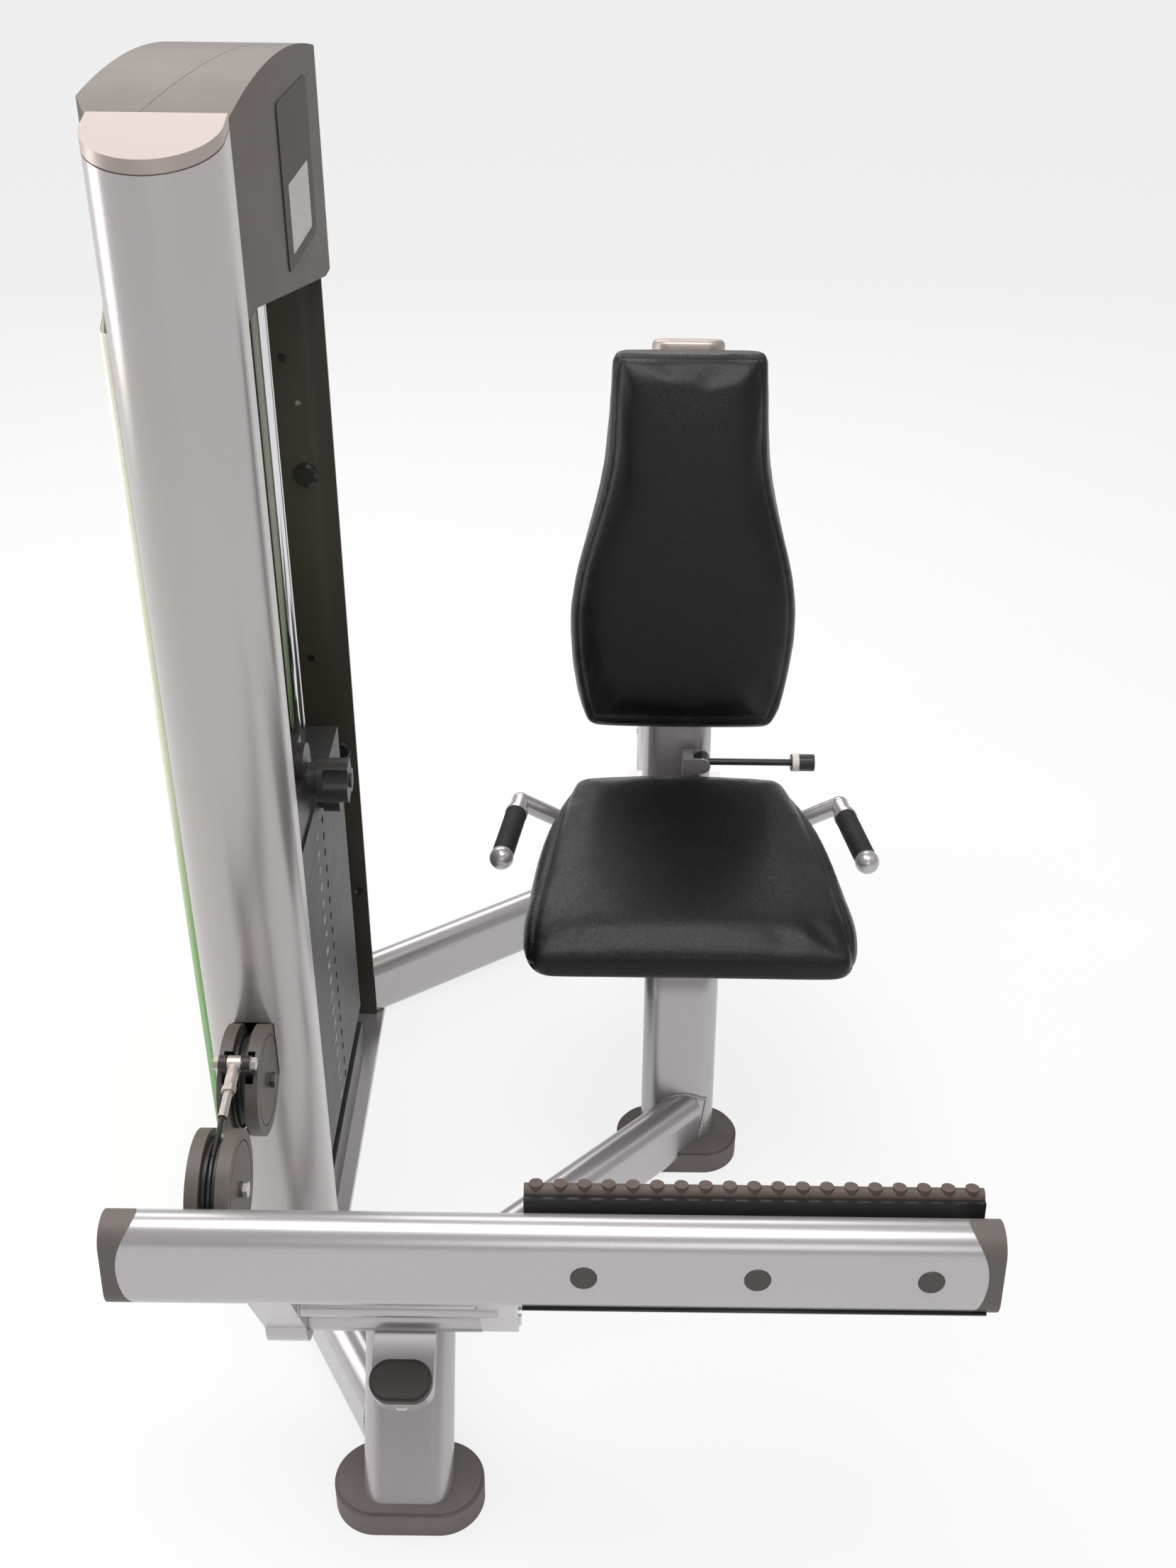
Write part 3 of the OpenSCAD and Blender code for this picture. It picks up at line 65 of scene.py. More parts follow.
class Field:
    """A value that varies over a surface; arithmetic on it adds Math nodes."""

    def __init__(self, tree, socket):
        self.tree = tree
        self.socket = socket

    def node(self, kind, settings, inputs, output=0):
        made = self.tree.nodes.new("ShaderNode" + kind)
        for key, value in settings.items():
            if key == "stops":
                ramp = made.color_ramp
                for index, (place, colour) in enumerate(value):
                    stop = ramp.elements[index] if index < 2 else ramp.elements.new(place)
                    stop.position = place
                    stop.color = (*colour, 1)
            else:
                setattr(made, key, value)
        for key, value in inputs.items():
            if isinstance(value, Field):
                self.tree.links.new(value.socket, made.inputs[key])
            else:
                made.inputs[key].default_value = value
        return Field(self.tree, made.outputs[output])

    def math(self, operation, *values):
        return self.node("Math", {"operation": operation}, dict(enumerate(values)))

    def __add__(self, other):
        return self.math("ADD", self, other)

    def __radd__(self, other):
        return self.math("ADD", other, self)

    def __sub__(self, other):
        return self.math("SUBTRACT", self, other)

    def __rsub__(self, other):
        return self.math("SUBTRACT", other, self)

    def __mul__(self, other):
        return self.math("MULTIPLY", self, other)

    def __rmul__(self, other):
        return self.math("MULTIPLY", other, self)

    def __truediv__(self, other):
        return self.math("DIVIDE", self, other)

    def __gt__(self, other):
        return self.math("GREATER_THAN", self, other)

    def size(self):
        return self.math("ABSOLUTE", self)

    def ramp(self, low, high):
        """0 below low, 1 above high, smooth between."""
        return self.node("MapRange", {"interpolation_type": "SMOOTHSTEP"},
                         {"Value": self, "From Min": low, "From Max": high})

    def tint(self, low, high):
        """Colour from low to high by this value."""
        pair = {0: self}
        for key, colour in ((6, low), (7, high)):
            pair[key] = colour if isinstance(colour, Field) else (*colour, 1)
        return self.node("Mix", {"data_type": "RGBA"}, pair, 2)

    def grain(self, scale, detail=2.0, roughness=0.5):
        return self.node("TexNoise", {}, {"Vector": self, "Scale": scale, "Detail": detail,
                                          "Roughness": roughness})

    def cells(self, scale, feature="F1"):
        return self.node("TexVoronoi", {"feature": feature}, {"Vector": self, "Scale": scale})

    def axis(self, index):
        return self.node("SeparateXYZ", {}, {0: self}, index)

    def stretched(self, x, y, z):
        return self.node("Mapping", {}, {"Vector": self, "Scale": (x, y, z)})

    def relief(self, distance, strength):
        """Normal from a height of 0 to 1 that stands this far proud."""
        return self.node("Bump", {}, {"Height": self, "Distance": distance, "Strength": strength})


eye = Vector((0.1945, -1.16, 1.70))
look_down = Matrix.Rotation(math.radians(57.95), 4, "X")
tilt = Matrix.Rotation(math.radians(0.69), 4, "Z")
picture_width = 1659
focal_pixels = 2300
lens = bpy.data.cameras.new("eye")
lens.sensor_fit = "HORIZONTAL"
lens.sensor_width = 36
lens.lens = focal_pixels / picture_width * lens.sensor_width
lens.clip_end = 100
camera = bpy.data.objects.new("eye", lens)
camera.matrix_world = Matrix.Translation(eye) @ look_down @ tilt
bpy.context.collection.objects.link(camera)
bpy.context.scene.camera = camera
bpy.context.scene.view_settings.view_transform = "Standard"


def rays(tree, *kinds):
    """Which kinds of ray see this surface, one field for each."""
    path = tree.nodes.new("ShaderNodeLightPath")
    return [Field(tree, path.outputs[f"Is {kind} Ray"]) for kind in kinds]


room_light = 0.31
room_backdrop = 0.93
room_in_gloss = 0.15
room = bpy.data.worlds.new("room")
room.use_nodes = True
bpy.context.scene.world = room
background = room.node_tree.nodes["Background"]
background.inputs["Color"].default_value = (1, 1, 1, 1)
direct, glossy, through = rays(room.node_tree, "Camera", "Glossy", "Transmission")
seen = direct.math("MAXIMUM", direct, through) + glossy * room_in_gloss
room.node_tree.links.new((room_light + seen * (room_backdrop - room_light)).socket,
                         background.inputs["Strength"])


def lamp(name, place, aim, size, watts):
    light = bpy.data.lights.new(name, "AREA")
    light.shape = "RECTANGLE"
    light.size, light.size_y = size
    light.energy = watts
    light.color = (1, 0.975, 0.955)
    holder = bpy.data.objects.new(name, light)
    turn = (Vector(aim) - Vector(place)).to_track_quat("-Z", "Y")
    holder.matrix_world = Matrix.Translation(place) @ turn.to_matrix().to_4x4()
    holder.visible_camera = False
    bpy.context.collection.objects.link(holder)


lamp("lamp_above", (-0.1, 0.1, 3.6), (0.15, 0.5, 0.6), (3.0, 1.6), 84)
lamp("lamp_behind", (-0.5, 3.7, 2.9), (-0.1, 0.3, 1.0), (3.4, 1.5), 58)
lamp("lamp_front", (0.6, -3.1, 2.1), (0.0, 0.3, 0.5), (1.6, 1.2), 13)
lamp("lamp_left", (-2.3, 0.9, 1.5), (-0.2, 0.45, 0.8), (0.9, 2.2), 24)
lamp("lamp_right", (2.3, 0.3, 2.8), (0.3, 0.6, 0.5), (0.7, 2.0), 4)


def finish(name, roughness=0.5, metallic=0.0, coat=0.0, coat_roughness=0.1, specular=0.5):
    """A material with its steady values set, its shader, and the object's own coordinates."""
    material = bpy.data.materials.new(name)
    material.use_nodes = True
    tree = material.node_tree
    shader = tree.nodes["Principled BSDF"]
    for socket, value in (("Roughness", roughness), ("Metallic", metallic), ("Coat Weight", coat),
                          ("Coat Roughness", coat_roughness), ("Specular IOR Level", specular)):
        shader.inputs[socket].default_value = value
    return material, shader, Field(tree, tree.nodes.new("ShaderNodeTexCoord").outputs["Object"])


def feed(shader, **fields):
    """Joins fields to the shader as its colour, roughness and normal."""
    sockets = {"colour": "Base Color", "roughness": "Roughness", "normal": "Normal"}
    for key, field in fields.items():
        field.tree.links.new(field.socket, shader.inputs[sockets[key]])


floor_finish, floor_shader, spot = finish("pale_floor", roughness=0.9, specular=0.1)
feed(floor_shader, colour=spot.grain(3).tint((0.88, 0.88, 0.88), (0.92, 0.92, 0.92)))
floor_white = 0.8
direct, glossy, through = rays(floor_finish.node_tree, "Camera", "Glossy", "Transmission")
seen = direct.math("MAXIMUM", direct.math("MAXIMUM", direct, glossy), through)
white = spot.node("Emission", {}, {"Color": (1, 1, 1, 1), "Strength": 1.0})
shaded = Field(floor_finish.node_tree, floor_shader.outputs[0])
both = spot.node("MixShader", {}, {0: seen * floor_white, 1: shaded, 2: white})
floor_finish.node_tree.links.new(
    both.socket, floor_finish.node_tree.nodes["Material Output"].inputs["Surface"])
floor_shape = bmesh.new()
bmesh.ops.create_grid(floor_shape, x_segments=4, y_segments=4, size=40)


def piece(name, shape, material, smooth=False):
    """A finished bmesh as an object, its normals pointing outwards."""
    bmesh.ops.remove_doubles(shape, verts=shape.verts, dist=1e-6)
    bmesh.ops.recalc_face_normals(shape, faces=shape.faces)
    mesh = bpy.data.meshes.new(name)
    shape.to_mesh(mesh)
    shape.free()
    if smooth:
        mesh.shade_smooth()
    mesh.materials.append(material)
    made = bpy.data.objects.new(name, mesh)
    bpy.context.collection.objects.link(made)
    return made


floor = piece("floor", floor_shape, floor_finish)
floor.location.z = -0.0005


# ---------------------------------------------------------------------------
# Frame tubes: flat oval steel tube, bent, coped and welded, then powder coated in a satin
# silver with a fine metal flake. The coat runs over every welded bracket as well.

def silver_coat(name, tone, roughness):
    material, shader, place = finish(name, metallic=0.62, coat=0.2, coat_roughness=0.24)
    cloud = place.grain(5)
    flake = place.cells(1500)
    shade = cloud.tint(tuple(c * 0.93 for c in tone), tuple(min(1, c * 1.05) for c in tone))
    glint = (flake * 0.5).tint(shade, tuple(c * 0.55 for c in tone))
    feed(shader, colour=glint, roughness=roughness + 0.08 * cloud,
         normal=place.grain(260, 2).relief(0.0002, 0.12))
    return material


def dress(material, *nodes):
    """Gives CAD nodes their finish."""
    for node in nodes:
        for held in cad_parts[node].material_slots:
            held.material = material


frame_silver = silver_coat("frame_silver", (0.58, 0.56, 0.572), 0.25)
dress(frame_silver, "front_post", "base_tube_front", "base_tube_seat", "base_tube_rear", "seat_leg",
      "seat_rail", "rear_leg", "pivot_housing", "bumper_bracket", "back_post", "seat_carriage",
      "press_arm_weldment", "arm_pulley_bracket", "tower_base", "rear_upright", "handles")

tube_wide = 0.102
tube_thin = 0.051


def oval_ring(centre, along, up, count=112):
    """Points round a flat oval tube whose long side lies along up."""
    along, up = Vector(along).normalized(), Vector(up).normalized()
    side = along.cross(up)
    straight = (tube_wide - tube_thin) / 2
    points = []
    for index in range(count):
        turn = 2 * math.pi * index / count
        rise = straight if math.sin(turn) > 0 else -straight
        points.append(Vector(centre) + side * math.cos(turn) * tube_thin / 2
                      + up * (rise + math.sin(turn) * tube_thin / 2))
    return points


def round_wire(name, points, radius, material, closed=False, sides=8, ripple=0.0):
    """A cable or bead along points, capped at its ends, as a mesh."""
    curve = bpy.data.curves.new(name, "CURVE")
    curve.dimensions = "3D"
    curve.bevel_depth = radius
    curve.bevel_resolution = max(0, sides // 4 - 1)
    curve.use_fill_caps = True
    line = curve.splines.new("POLY")
    line.points.add(len(points) - 1)
    line.use_cyclic_u = closed
    for index, (knot, point) in enumerate(zip(line.points, points)):
        knot.co = (*point, 1)
        knot.radius = 1 + ripple * math.sin(index * 2.1)
    soft = bpy.data.objects.new(name, curve)
    bpy.context.collection.objects.link(soft)
    bpy.context.view_layer.update()
    ready = bpy.context.evaluated_depsgraph_get()
    mesh = bpy.data.meshes.new_from_object(soft.evaluated_get(ready))
    bpy.data.objects.remove(soft)
    bpy.data.curves.remove(curve)
    shape = bmesh.new()
    shape.from_mesh(mesh)
    bpy.data.meshes.remove(mesh)
    return piece(name, shape, material, smooth=True)


bead_step = 0.002
bead_sunk = 0.2
fewest_hits = 8
past_middle = 0.55


def weld_bead(name, body, target, ring, toward, radius=0.0026):
    """Bead where a ring of points, sent one way, meets the target tube."""
    way = Vector(toward).normalized()
    path = []
    for point in ring:
        struck, place, _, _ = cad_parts[target].ray_cast(point, way)
        if struck:
            path.append(place - way * radius * bead_sunk)
    if len(path) < fewest_hits:
        raise RuntimeError(f"{name} meets nothing")
    lumps = [path[0]]
    for point in path[1:] + path[:1]:
        start = lumps[-1]
        steps = max(1, round((point - start).length / bead_step))
        lumps += [start.lerp(point, (step + 1) / steps) for step in range(steps)]
    bead = round_wire(name, lumps[:-1], radius, frame_silver, closed=True, ripple=0.18)
    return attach(bead, body)


post_lean = math.radians(32)
post_way = Vector((0, math.sin(post_lean), math.cos(post_lean)))
floor_tube_mid = 0.056
front_tube = (Vector((0, 0.0049, floor_tube_mid)), Vector((-0.1905, 0.2375, floor_tube_mid)))
seat_tube = (Vector((-0.092, 0.143, floor_tube_mid)), Vector((0.3415, 0.566, floor_tube_mid)))
rear_tube = (Vector((-0.1505, 0.86, floor_tube_mid)), Vector((0.3275, 1.199, floor_tube_mid)))
up = Vector((0, 0, 1))
for name, target, (start, end) in (
    ("weld_front_tube_to_post", "front_post", (front_tube[1], front_tube[0])),
    ("weld_front_tube_to_column", "tower_column", front_tube),
    ("weld_seat_tube_to_leg", "seat_leg", seat_tube),
    ("weld_seat_tube_to_front_tube", "base_tube_front", (seat_tube[1], seat_tube[0])),
    ("weld_rear_tube_to_leg", "rear_leg", rear_tube),
    ("weld_rear_tube_to_upright", "rear_upright", (rear_tube[1], rear_tube[0])),
):
    way = end - start
    weld_bead(name, "frame", target, oval_ring(start.lerp(end, past_middle), way, up), way)
pivot = Vector((0, 0.064, 0.245))
housing_radius = 0.025
housing_seam = 0.064
bead_apart = 0.0062
touch_post = pivot + Vector((0, post_way.z, -post_way.y)) * housing_radius
knots = round(housing_seam / bead_step)
for side, word in ((-1, "low"), (1, "high")):
    middle = touch_post + post_way * bead_apart * side
    seam_points = [middle + Vector((-housing_seam / 2 + bead_step * k, 0, 0))
                   for k in range(knots + 1)]
    bead = round_wire(f"weld_housing_{word}", seam_points, 0.0031, frame_silver, ripple=0.16)
    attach(bead, "frame")
rear_leg_low = (0.3275, 1.199, 0.2)
weld_bead("weld_rear_leg_to_rail", "frame", "seat_rail",
          oval_ring(rear_leg_low, up, (1, 0, 0)), up)


# ---------------------------------------------------------------------------
# Rubber feet and tube end caps: moulded in a brown-grey plastic rubber, pushed on over the tube
# ends, with a fine sand-blasted grain from the mould.

def moulded(name, tone, roughness=0.55, grain=900, depth=0.0002, dust=0.25, specular=0.5):
    """Moulded rubber or plastic: a tone, the mould's grain and some dust in the worn places."""
    material, shader, place = finish(name, roughness=roughness, specular=specular)
    speck = place.grain(grain, 3, 0.6)
    worn = place.grain(14, 4, 0.6)
    shade = worn.tint(tuple(c * 0.88 for c in tone), tuple(c * 1.1 for c in tone))
    dusty = (worn.ramp(0.5, 0.85) * dust).tint(shade, tuple(c * 0.6 + 0.12 for c in tone))
    feed(shader, colour=dusty, roughness=roughness - 0.06 + 0.14 * worn,
         normal=speck.relief(depth, 0.5))
    return material


grey_plastic = moulded("grey_plastic", (0.135, 0.115, 0.108))
foot_rubber = moulded("foot_rubber", (0.19, 0.163, 0.155), roughness=0.72, grain=500,
                      depth=0.0004, dust=0.5)
dress(foot_rubber, "front_foot", "seat_feet")
dress(grey_plastic, "rail_cap")


# ---------------------------------------------------------------------------
# Stop bumper: a block of brown-black rubber with a groove where the cross bar lands, held on its
# welded bracket by a button-head screw that shows on the front.

puck_lean = math.radians(27)
puck_place = Matrix.Translation((0, -0.0101, 0.2152)) @ Matrix.Rotation(puck_lean, 4, "X")
bumper_rubber = moulded("bumper_rubber", (0.062, 0.053, 0.051), roughness=0.6, grain=420,
                        depth=0.0004)
dress(bumper_rubber, "stop_bumper")

zinc, zinc_shader, at = finish("zinc_plate", metallic=0.9, roughness=0.35)
bloom = at.grain(120, 3)
feed(zinc_shader, colour=bloom.tint((0.52, 0.47, 0.44), (0.72, 0.66, 0.61)),
     roughness=0.28 + 0.18 * bloom, normal=at.grain(900).relief(0.0001, 0.3))


def verts_of(geometry):
    return [v for v in geometry if isinstance(v, bmesh.types.BMVert)]


def standing(place, way):
    """Place and turn of a piece whose Z axis stands along way."""
    turn = up.rotation_difference(Vector(way).normalized()).to_matrix().to_4x4()
    return Matrix.Translation(place) @ turn


def button_head(radius, height, steps=5):
    """A domed screw head with a socket, its foot on the XY plane."""
    head = bmesh.new()
    bmesh.ops.create_circle(head, cap_ends=True, segments=28, radius=radius)
    crown = 0.25
    step = math.pi / 2 / (steps + 1)
    top = list(head.faces)
    last = 1
    for index in range(1, steps + 1):
        wide = math.cos(step * index) + crown * (1 - math.cos(step * index))
        grown = bmesh.ops.extrude_face_region(head, geom=top)["geom"]
        bmesh.ops.scale(head, vec=(wide / last, wide / last, 1), verts=verts_of(grown))
        for v in verts_of(grown):
            v.co.z = math.sin(step * index) * height
        bmesh.ops.delete(head, geom=[f for f in top if f.is_valid], context="FACES_ONLY")
        top = [f for f in grown if isinstance(f, bmesh.types.BMFace)]
        last = wide
    bmesh.ops.inset_region(head, faces=top, thickness=radius * 0.14)
    grown = bmesh.ops.extrude_face_region(head, geom=top)["geom"]
    bmesh.ops.translate(head, vec=(0, 0, -height * 0.5), verts=verts_of(grown))
    bmesh.ops.delete(head, geom=[f for f in top if f.is_valid], context="FACES_ONLY")
    return head


def fixed_screw(name, body, place, way, radius, height=0.0035):
    """A button-head screw standing on a face that looks along way."""
    head = button_head(radius, height)
    bmesh.ops.transform(head, matrix=standing(place, way), verts=head.verts)
    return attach(piece(name, head, zinc), body)


front_out, screw_drop = 0.022, 0.030
bumper_front = puck_place @ Vector((0, -front_out, -screw_drop))
fixed_screw("bumper_screw", "frame", bumper_front, puck_place.to_3x3() @ Vector((0, -1, 0)),
            0.0065)


# ---------------------------------------------------------------------------
# Press arm: two cut side plates, a cross bar and the long foot bar, welded together and swinging
# on a plain steel shaft in nylon bushes. The bar's ends are closed by moulded caps.

bright_steel, steel_shader, at = finish("bright_steel", metallic=1.0, roughness=0.22)
turned = at.grain(220)
feed(steel_shader, colour=turned.tint((0.56, 0.56, 0.57), (0.7, 0.7, 0.71)),
     roughness=0.16 + 0.12 * turned, normal=at.grain(700).relief(0.00005, 0.3))
nylon = moulded("black_nylon", (0.02, 0.0195, 0.019), roughness=0.42, grain=300, depth=0.0001,
                dust=0.12)
dress(bright_steel, "pivot_shaft")
dress(nylon, "pivot_bushes")
dress(grey_plastic, "bar_end_caps")
plug_plastic = moulded("plug_plastic", (0.068, 0.058, 0.055), roughness=0.5, grain=600)
dress(plug_plastic, "bar_plugs")

cross_bar = Vector((0, 0.012, 0.311))
cross_radius = 0.0131
ring_points = 48
ring = [cross_bar + Vector((0, math.cos(a), math.sin(a))) * cross_radius
        for a in (2 * math.pi * k / ring_points for k in range(ring_points))]
for side, name in ((-1, "left"), (1, "right")):
    weld_bead(f"weld_cross_bar_{name}", "press_arm", "press_arm_weldment", ring, (side, 0, 0),
              0.0022)


# ---------------------------------------------------------------------------
# Foot plate and tread: a black painted steel plate along the back of the bar, hooked under it,
# with a studded brown rubber tread pressed over it that the balls of the feet push on.

black_coat = moulded("black_coat", (0.018, 0.017, 0.0165), roughness=0.38, grain=240, dust=0.15)
dress(black_coat, "foot_plate")
tread_rubber = moulded("tread_rubber", (0.108, 0.079, 0.068), roughness=0.6, grain=380,
                       depth=0.0006, dust=0.6)
dress(tread_rubber, "foot_tread")


def bent_sheet(name, line, sweep, thick, material, place):
    """A line of points swept along and given its thickness, as a folded strip of sheet."""
    sheet = bmesh.new()
    edge = [sheet.verts.new(point) for point in line]
    rails = [sheet.edges.new(pair) for pair in zip(edge, edge[1:])]
    grown = bmesh.ops.extrude_edge_only(sheet, edges=rails)["geom"]
    bmesh.ops.translate(sheet, vec=sweep, verts=verts_of(grown))
    bmesh.ops.transform(sheet, matrix=place, verts=sheet.verts)
    made = piece(name, sheet, material, smooth=True)
    wall = made.modifiers.new("wall", "SOLIDIFY")
    wall.thickness = thick
    wall.offset = 0
    return made


bar_lean = math.radians(-8)
bar_place = Matrix.Translation((0.165, -0.035, 0.435)) @ Matrix.Rotation(bar_lean, 4, "X")
hook_radius = 0.0275
hook_centre = -0.0255
hook_start, hook_length = -0.030, 0.462
bend = [math.radians(a) for a in range(-30, -147, -4)]
hook_line = [(hook_start, math.cos(a) * hook_radius, hook_centre + math.sin(a) * hook_radius)
             for a in bend]
hook = bent_sheet("foot_plate_hook", hook_line, (hook_length, 0, 0), 0.003, black_coat, bar_place)
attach(hook, "press_arm")


# ---------------------------------------------------------------------------
# Column: a rolled steel extrusion with a half-round front, silver coated, standing on the base
# plate and closed by a sloped moulded cap with a neat shadow line below it.

column_silver = silver_coat("column_silver", (0.56, 0.525, 0.528), 0.24)
dress(column_silver, "tower_column")
cap_plastic = silver_coat("cap_plastic", (0.50, 0.43, 0.40), 0.4)
dress(cap_plastic, "column_cap")


# ---------------------------------------------------------------------------
# Tower covers: a two-part moulded shroud over the top pulleys, a formed side cover, and the dark
# rear panel held by two round rubber caps. The shroud is brown-grey plastic with a fine grain.

shroud_plastic = moulded("shroud_plastic", (0.070, 0.050, 0.039), roughness=0.42, grain=1100,
                         depth=0.00012, dust=0.1, specular=0.16)
dress(shroud_plastic, "shroud_left", "shroud_right")

panel_coat, panel_shader, at = finish("panel_coat", roughness=0.2, coat=0.3)
film = at.grain(9, 3)
feed(panel_shader, colour=film.tint((0.050, 0.041, 0.034), (0.068, 0.056, 0.047)),
     roughness=0.2 + 0.12 * film, normal=at.grain(60).relief(0.0002, 0.08))
dress(panel_coat, "rear_panel")

cover_coat, cover_shader, at = finish("cover_coat", roughness=0.3, coat=0.35)
cover_low, cover_high = 0.06, 1.36
fade = (at.axis(2) - cover_low) / (cover_high - cover_low)
blush = (at.grain(2.2) - 0.5) * 0.12
leaf = at.node("ValToRGB", {"stops": [(0.0, (0.045, 0.30, 0.045)), (0.16, (0.10, 0.42, 0.07)),
                                      (0.34, (0.33, 0.62, 0.20)), (0.52, (0.78, 0.84, 0.62)),
                                      (1.0, (0.86, 0.84, 0.76))]}, {0: fade + blush})
feed(cover_shader, colour=leaf, roughness=0.26 + 0.1 * at.grain(40))
dress(cover_coat, "left_cover")

lip_plan = [(-0.2535, 0.331), (-0.2625, 0.338), (-0.2665, 0.352), (-0.2745, 0.392),
            (-0.2825, 0.428)]
lip_low, lip_high = 0.013, 1.249
lip = bent_sheet("cover_lip", [(x, y, lip_low) for x, y in lip_plan], (0, 0, lip_high - lip_low),
                 0.0022, cover_coat, Matrix())
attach(lip, "frame")

cap_rubber = moulded("cap_rubber", (0.012, 0.0115, 0.011), roughness=0.3, grain=500, depth=0.0001,
                     dust=0.05)
dress(cap_rubber, "panel_caps")


def hole_plug(name, place, way, radius, height):
    """A low round plug with a softened rim, standing on a face that looks along way."""
    plug = bmesh.new()
    bmesh.ops.create_cone(plug, cap_ends=True, segments=32, radius1=radius, radius2=radius,
                          depth=height)
    rim = [e for e in plug.edges if all(v.co.z > 0 for v in e.verts)]
    bmesh.ops.bevel(plug, geom=rim, offset=height * 0.45, segments=3, profile=0.5,
                    affect="EDGES", material=-1)
    middle = Vector(place) + Vector(way) * height / 2
    bmesh.ops.transform(plug, matrix=standing(middle, way), verts=plug.verts)
    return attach(piece(name, plug, cap_rubber), "frame")


panel_front = 0.840
for index, (x, z) in enumerate(((-0.193, 1.068), (-0.190, 0.649), (-0.147, 0.254))):
    hole_plug(f"panel_hole_plug_{index + 1}", (x, panel_front, z), (0, -1, 0), 0.0055, 0.0012)


# ---------------------------------------------------------------------------
# Placard: a thin dark plate fixed flat on the shroud's side, bare apart from one plain pale
# field in its lower half.

placard_face, placard_shader, at = finish("placard_face", specular=0.3)
feed(placard_shader, colour=at.grain(20).tint((0.034, 0.026, 0.022), (0.046, 0.036, 0.031)),
     roughness=0.5 + 0.1 * at.grain(200))
dress(placard_face, "placard")
field_face, field_shader, at = finish("placard_field", roughness=0.4)
feed(field_shader, colour=at.grain(14).tint((0.46, 0.43, 0.40), (0.54, 0.50, 0.47)),
     roughness=0.36 + 0.1 * at.grain(160))
field_size = (0.0004, 0.128, 0.072)
field_middle = (-0.1290, 0.694, 1.284)
pale_field = bmesh.new()
bmesh.ops.create_cube(pale_field, size=1)
bmesh.ops.scale(pale_field, vec=field_size, verts=pale_field.verts)
bmesh.ops.translate(pale_field, vec=field_middle, verts=pale_field.verts)
bmesh.ops.bevel(pale_field, geom=[e for e in pale_field.edges
                                  if abs(e.verts[0].co.x - e.verts[1].co.x) > 1e-5],
                offset=0.003, segments=4, profile=0.5, affect="EDGES", material=-1)
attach(piece("placard_pale_field", pale_field, field_face), "frame")


# ---------------------------------------------------------------------------
# Weight stack: eighteen cast and painted plates on two chromed guide rods, resting on a bolster
# and two rubber bumpers. Each plate has its weight in small pale figures beside the pin hole.

cast_iron = moulded("cast_iron", (0.030, 0.028, 0.027), roughness=0.46, grain=130, depth=0.0005,
                    dust=0.3)
dress(cast_iron, "weight_plates", "head_plate")
chrome, chrome_shader, at = finish("chrome", metallic=1.0, roughness=0.08)
film = at.stretched(1, 1, 0.2).grain(90)
feed(chrome_shader, colour=film.tint((0.66, 0.66, 0.67), (0.78, 0.78, 0.79)),
     roughness=0.06 + 0.08 * film)
dress(chrome, "guide_rods", "selector_stem")
dark_coat_and_slot_shade = moulded("dark_coat_and_slot_shade", (0.028, 0.026, 0.025), roughness=0.42, grain=260, depth=0.0003,
                    dust=0.2)
# This near-black coat is real paint on the bolster, beam and top bracket. On the column pulley
# bracket it is painted shade: the bracket's cheek plates stand in the column's shadowed slot and
# read as that shadow.
dress(dark_coat_and_slot_shade, "stack_bolster", "top_beam", "top_pulley_bracket", "column_pulley_bracket")
black_rubber = moulded("black_rubber", (0.016, 0.0155, 0.015), roughness=0.7, grain=400,
                       depth=0.0003)
dress(black_rubber, "stack_bumpers")

figure_paint, figure_shader, at = finish("figure_paint", roughness=0.55)
feed(figure_shader, colour=at.grain(300, 3).tint((0.62, 0.60, 0.56), (0.80, 0.78, 0.74)))
plate_count = 18
plate_low = 0.105
plate_pitch = 0.0254
plate_face = -0.1455
figure_proud, figure_y, figure_rise = 0.0002, 0.540, 0.0125
figure_place = Vector((plate_face + figure_proud, figure_y, plate_low + figure_rise))
figure_turn = Matrix.Rotation(math.radians(90), 4, "Z") @ Matrix.Rotation(math.radians(90), 4, "X")
figures = bmesh.new()
for index in range(plate_count):
    label = bpy.data.curves.new("figure", "FONT")
    label.body = str(10 * (plate_count - index))
    label.size = 0.014
    label.extrude = 0.00015
    label.align_x, label.align_y = "CENTER", "CENTER"
    label.resolution_u = 2
    held = bpy.data.objects.new("figure", label)
    bpy.context.collection.objects.link(held)
    bpy.context.view_layer.update()
    ready = bpy.context.evaluated_depsgraph_get()
    flat = bpy.data.meshes.new_from_object(held.evaluated_get(ready))
    flat.transform(Matrix.Translation(figure_place + up * plate_pitch * index) @ figure_turn)
    figures.from_mesh(flat)
    bpy.data.objects.remove(held)
    bpy.data.curves.remove(label)
    bpy.data.meshes.remove(flat)
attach(piece("plate_figures", figures, figure_paint), "frame")


# ---------------------------------------------------------------------------
# Weight carriage: the head plate and bored stem that the pin picks plates up with, and a black
# moulded block on top whose lobed knob dials in part weights.

block_plastic = moulded("block_plastic", (0.022, 0.0205, 0.020), roughness=0.4, grain=700,
                        dust=0.15)
dress(block_plastic, "increment_block", "increment_knob", "selector_pin")


# ---------------------------------------------------------------------------
# Pulleys: black nylon wheels on bolted axles. The two below run between pairs of moulded
# grey-brown guards, the two under the shroud in a painted bracket.

guard_plastic = moulded("guard_plastic", (0.112, 0.094, 0.084), roughness=0.5, grain=520,
                        depth=0.0003, dust=0.35)
dress(guard_plastic, "column_pulley_guards", "arm_pulley_guards")
dress(nylon, "column_pulley_wheel", "arm_pulley_wheel", "top_wheel_front", "top_wheel_rear")


# ---------------------------------------------------------------------------
# Cable: a steel rope in a smooth black jacket, 6.4 mm through. It is held at the clevis on the
# column, runs round the arm pulley and under the column pulley, then up and over to the stack.

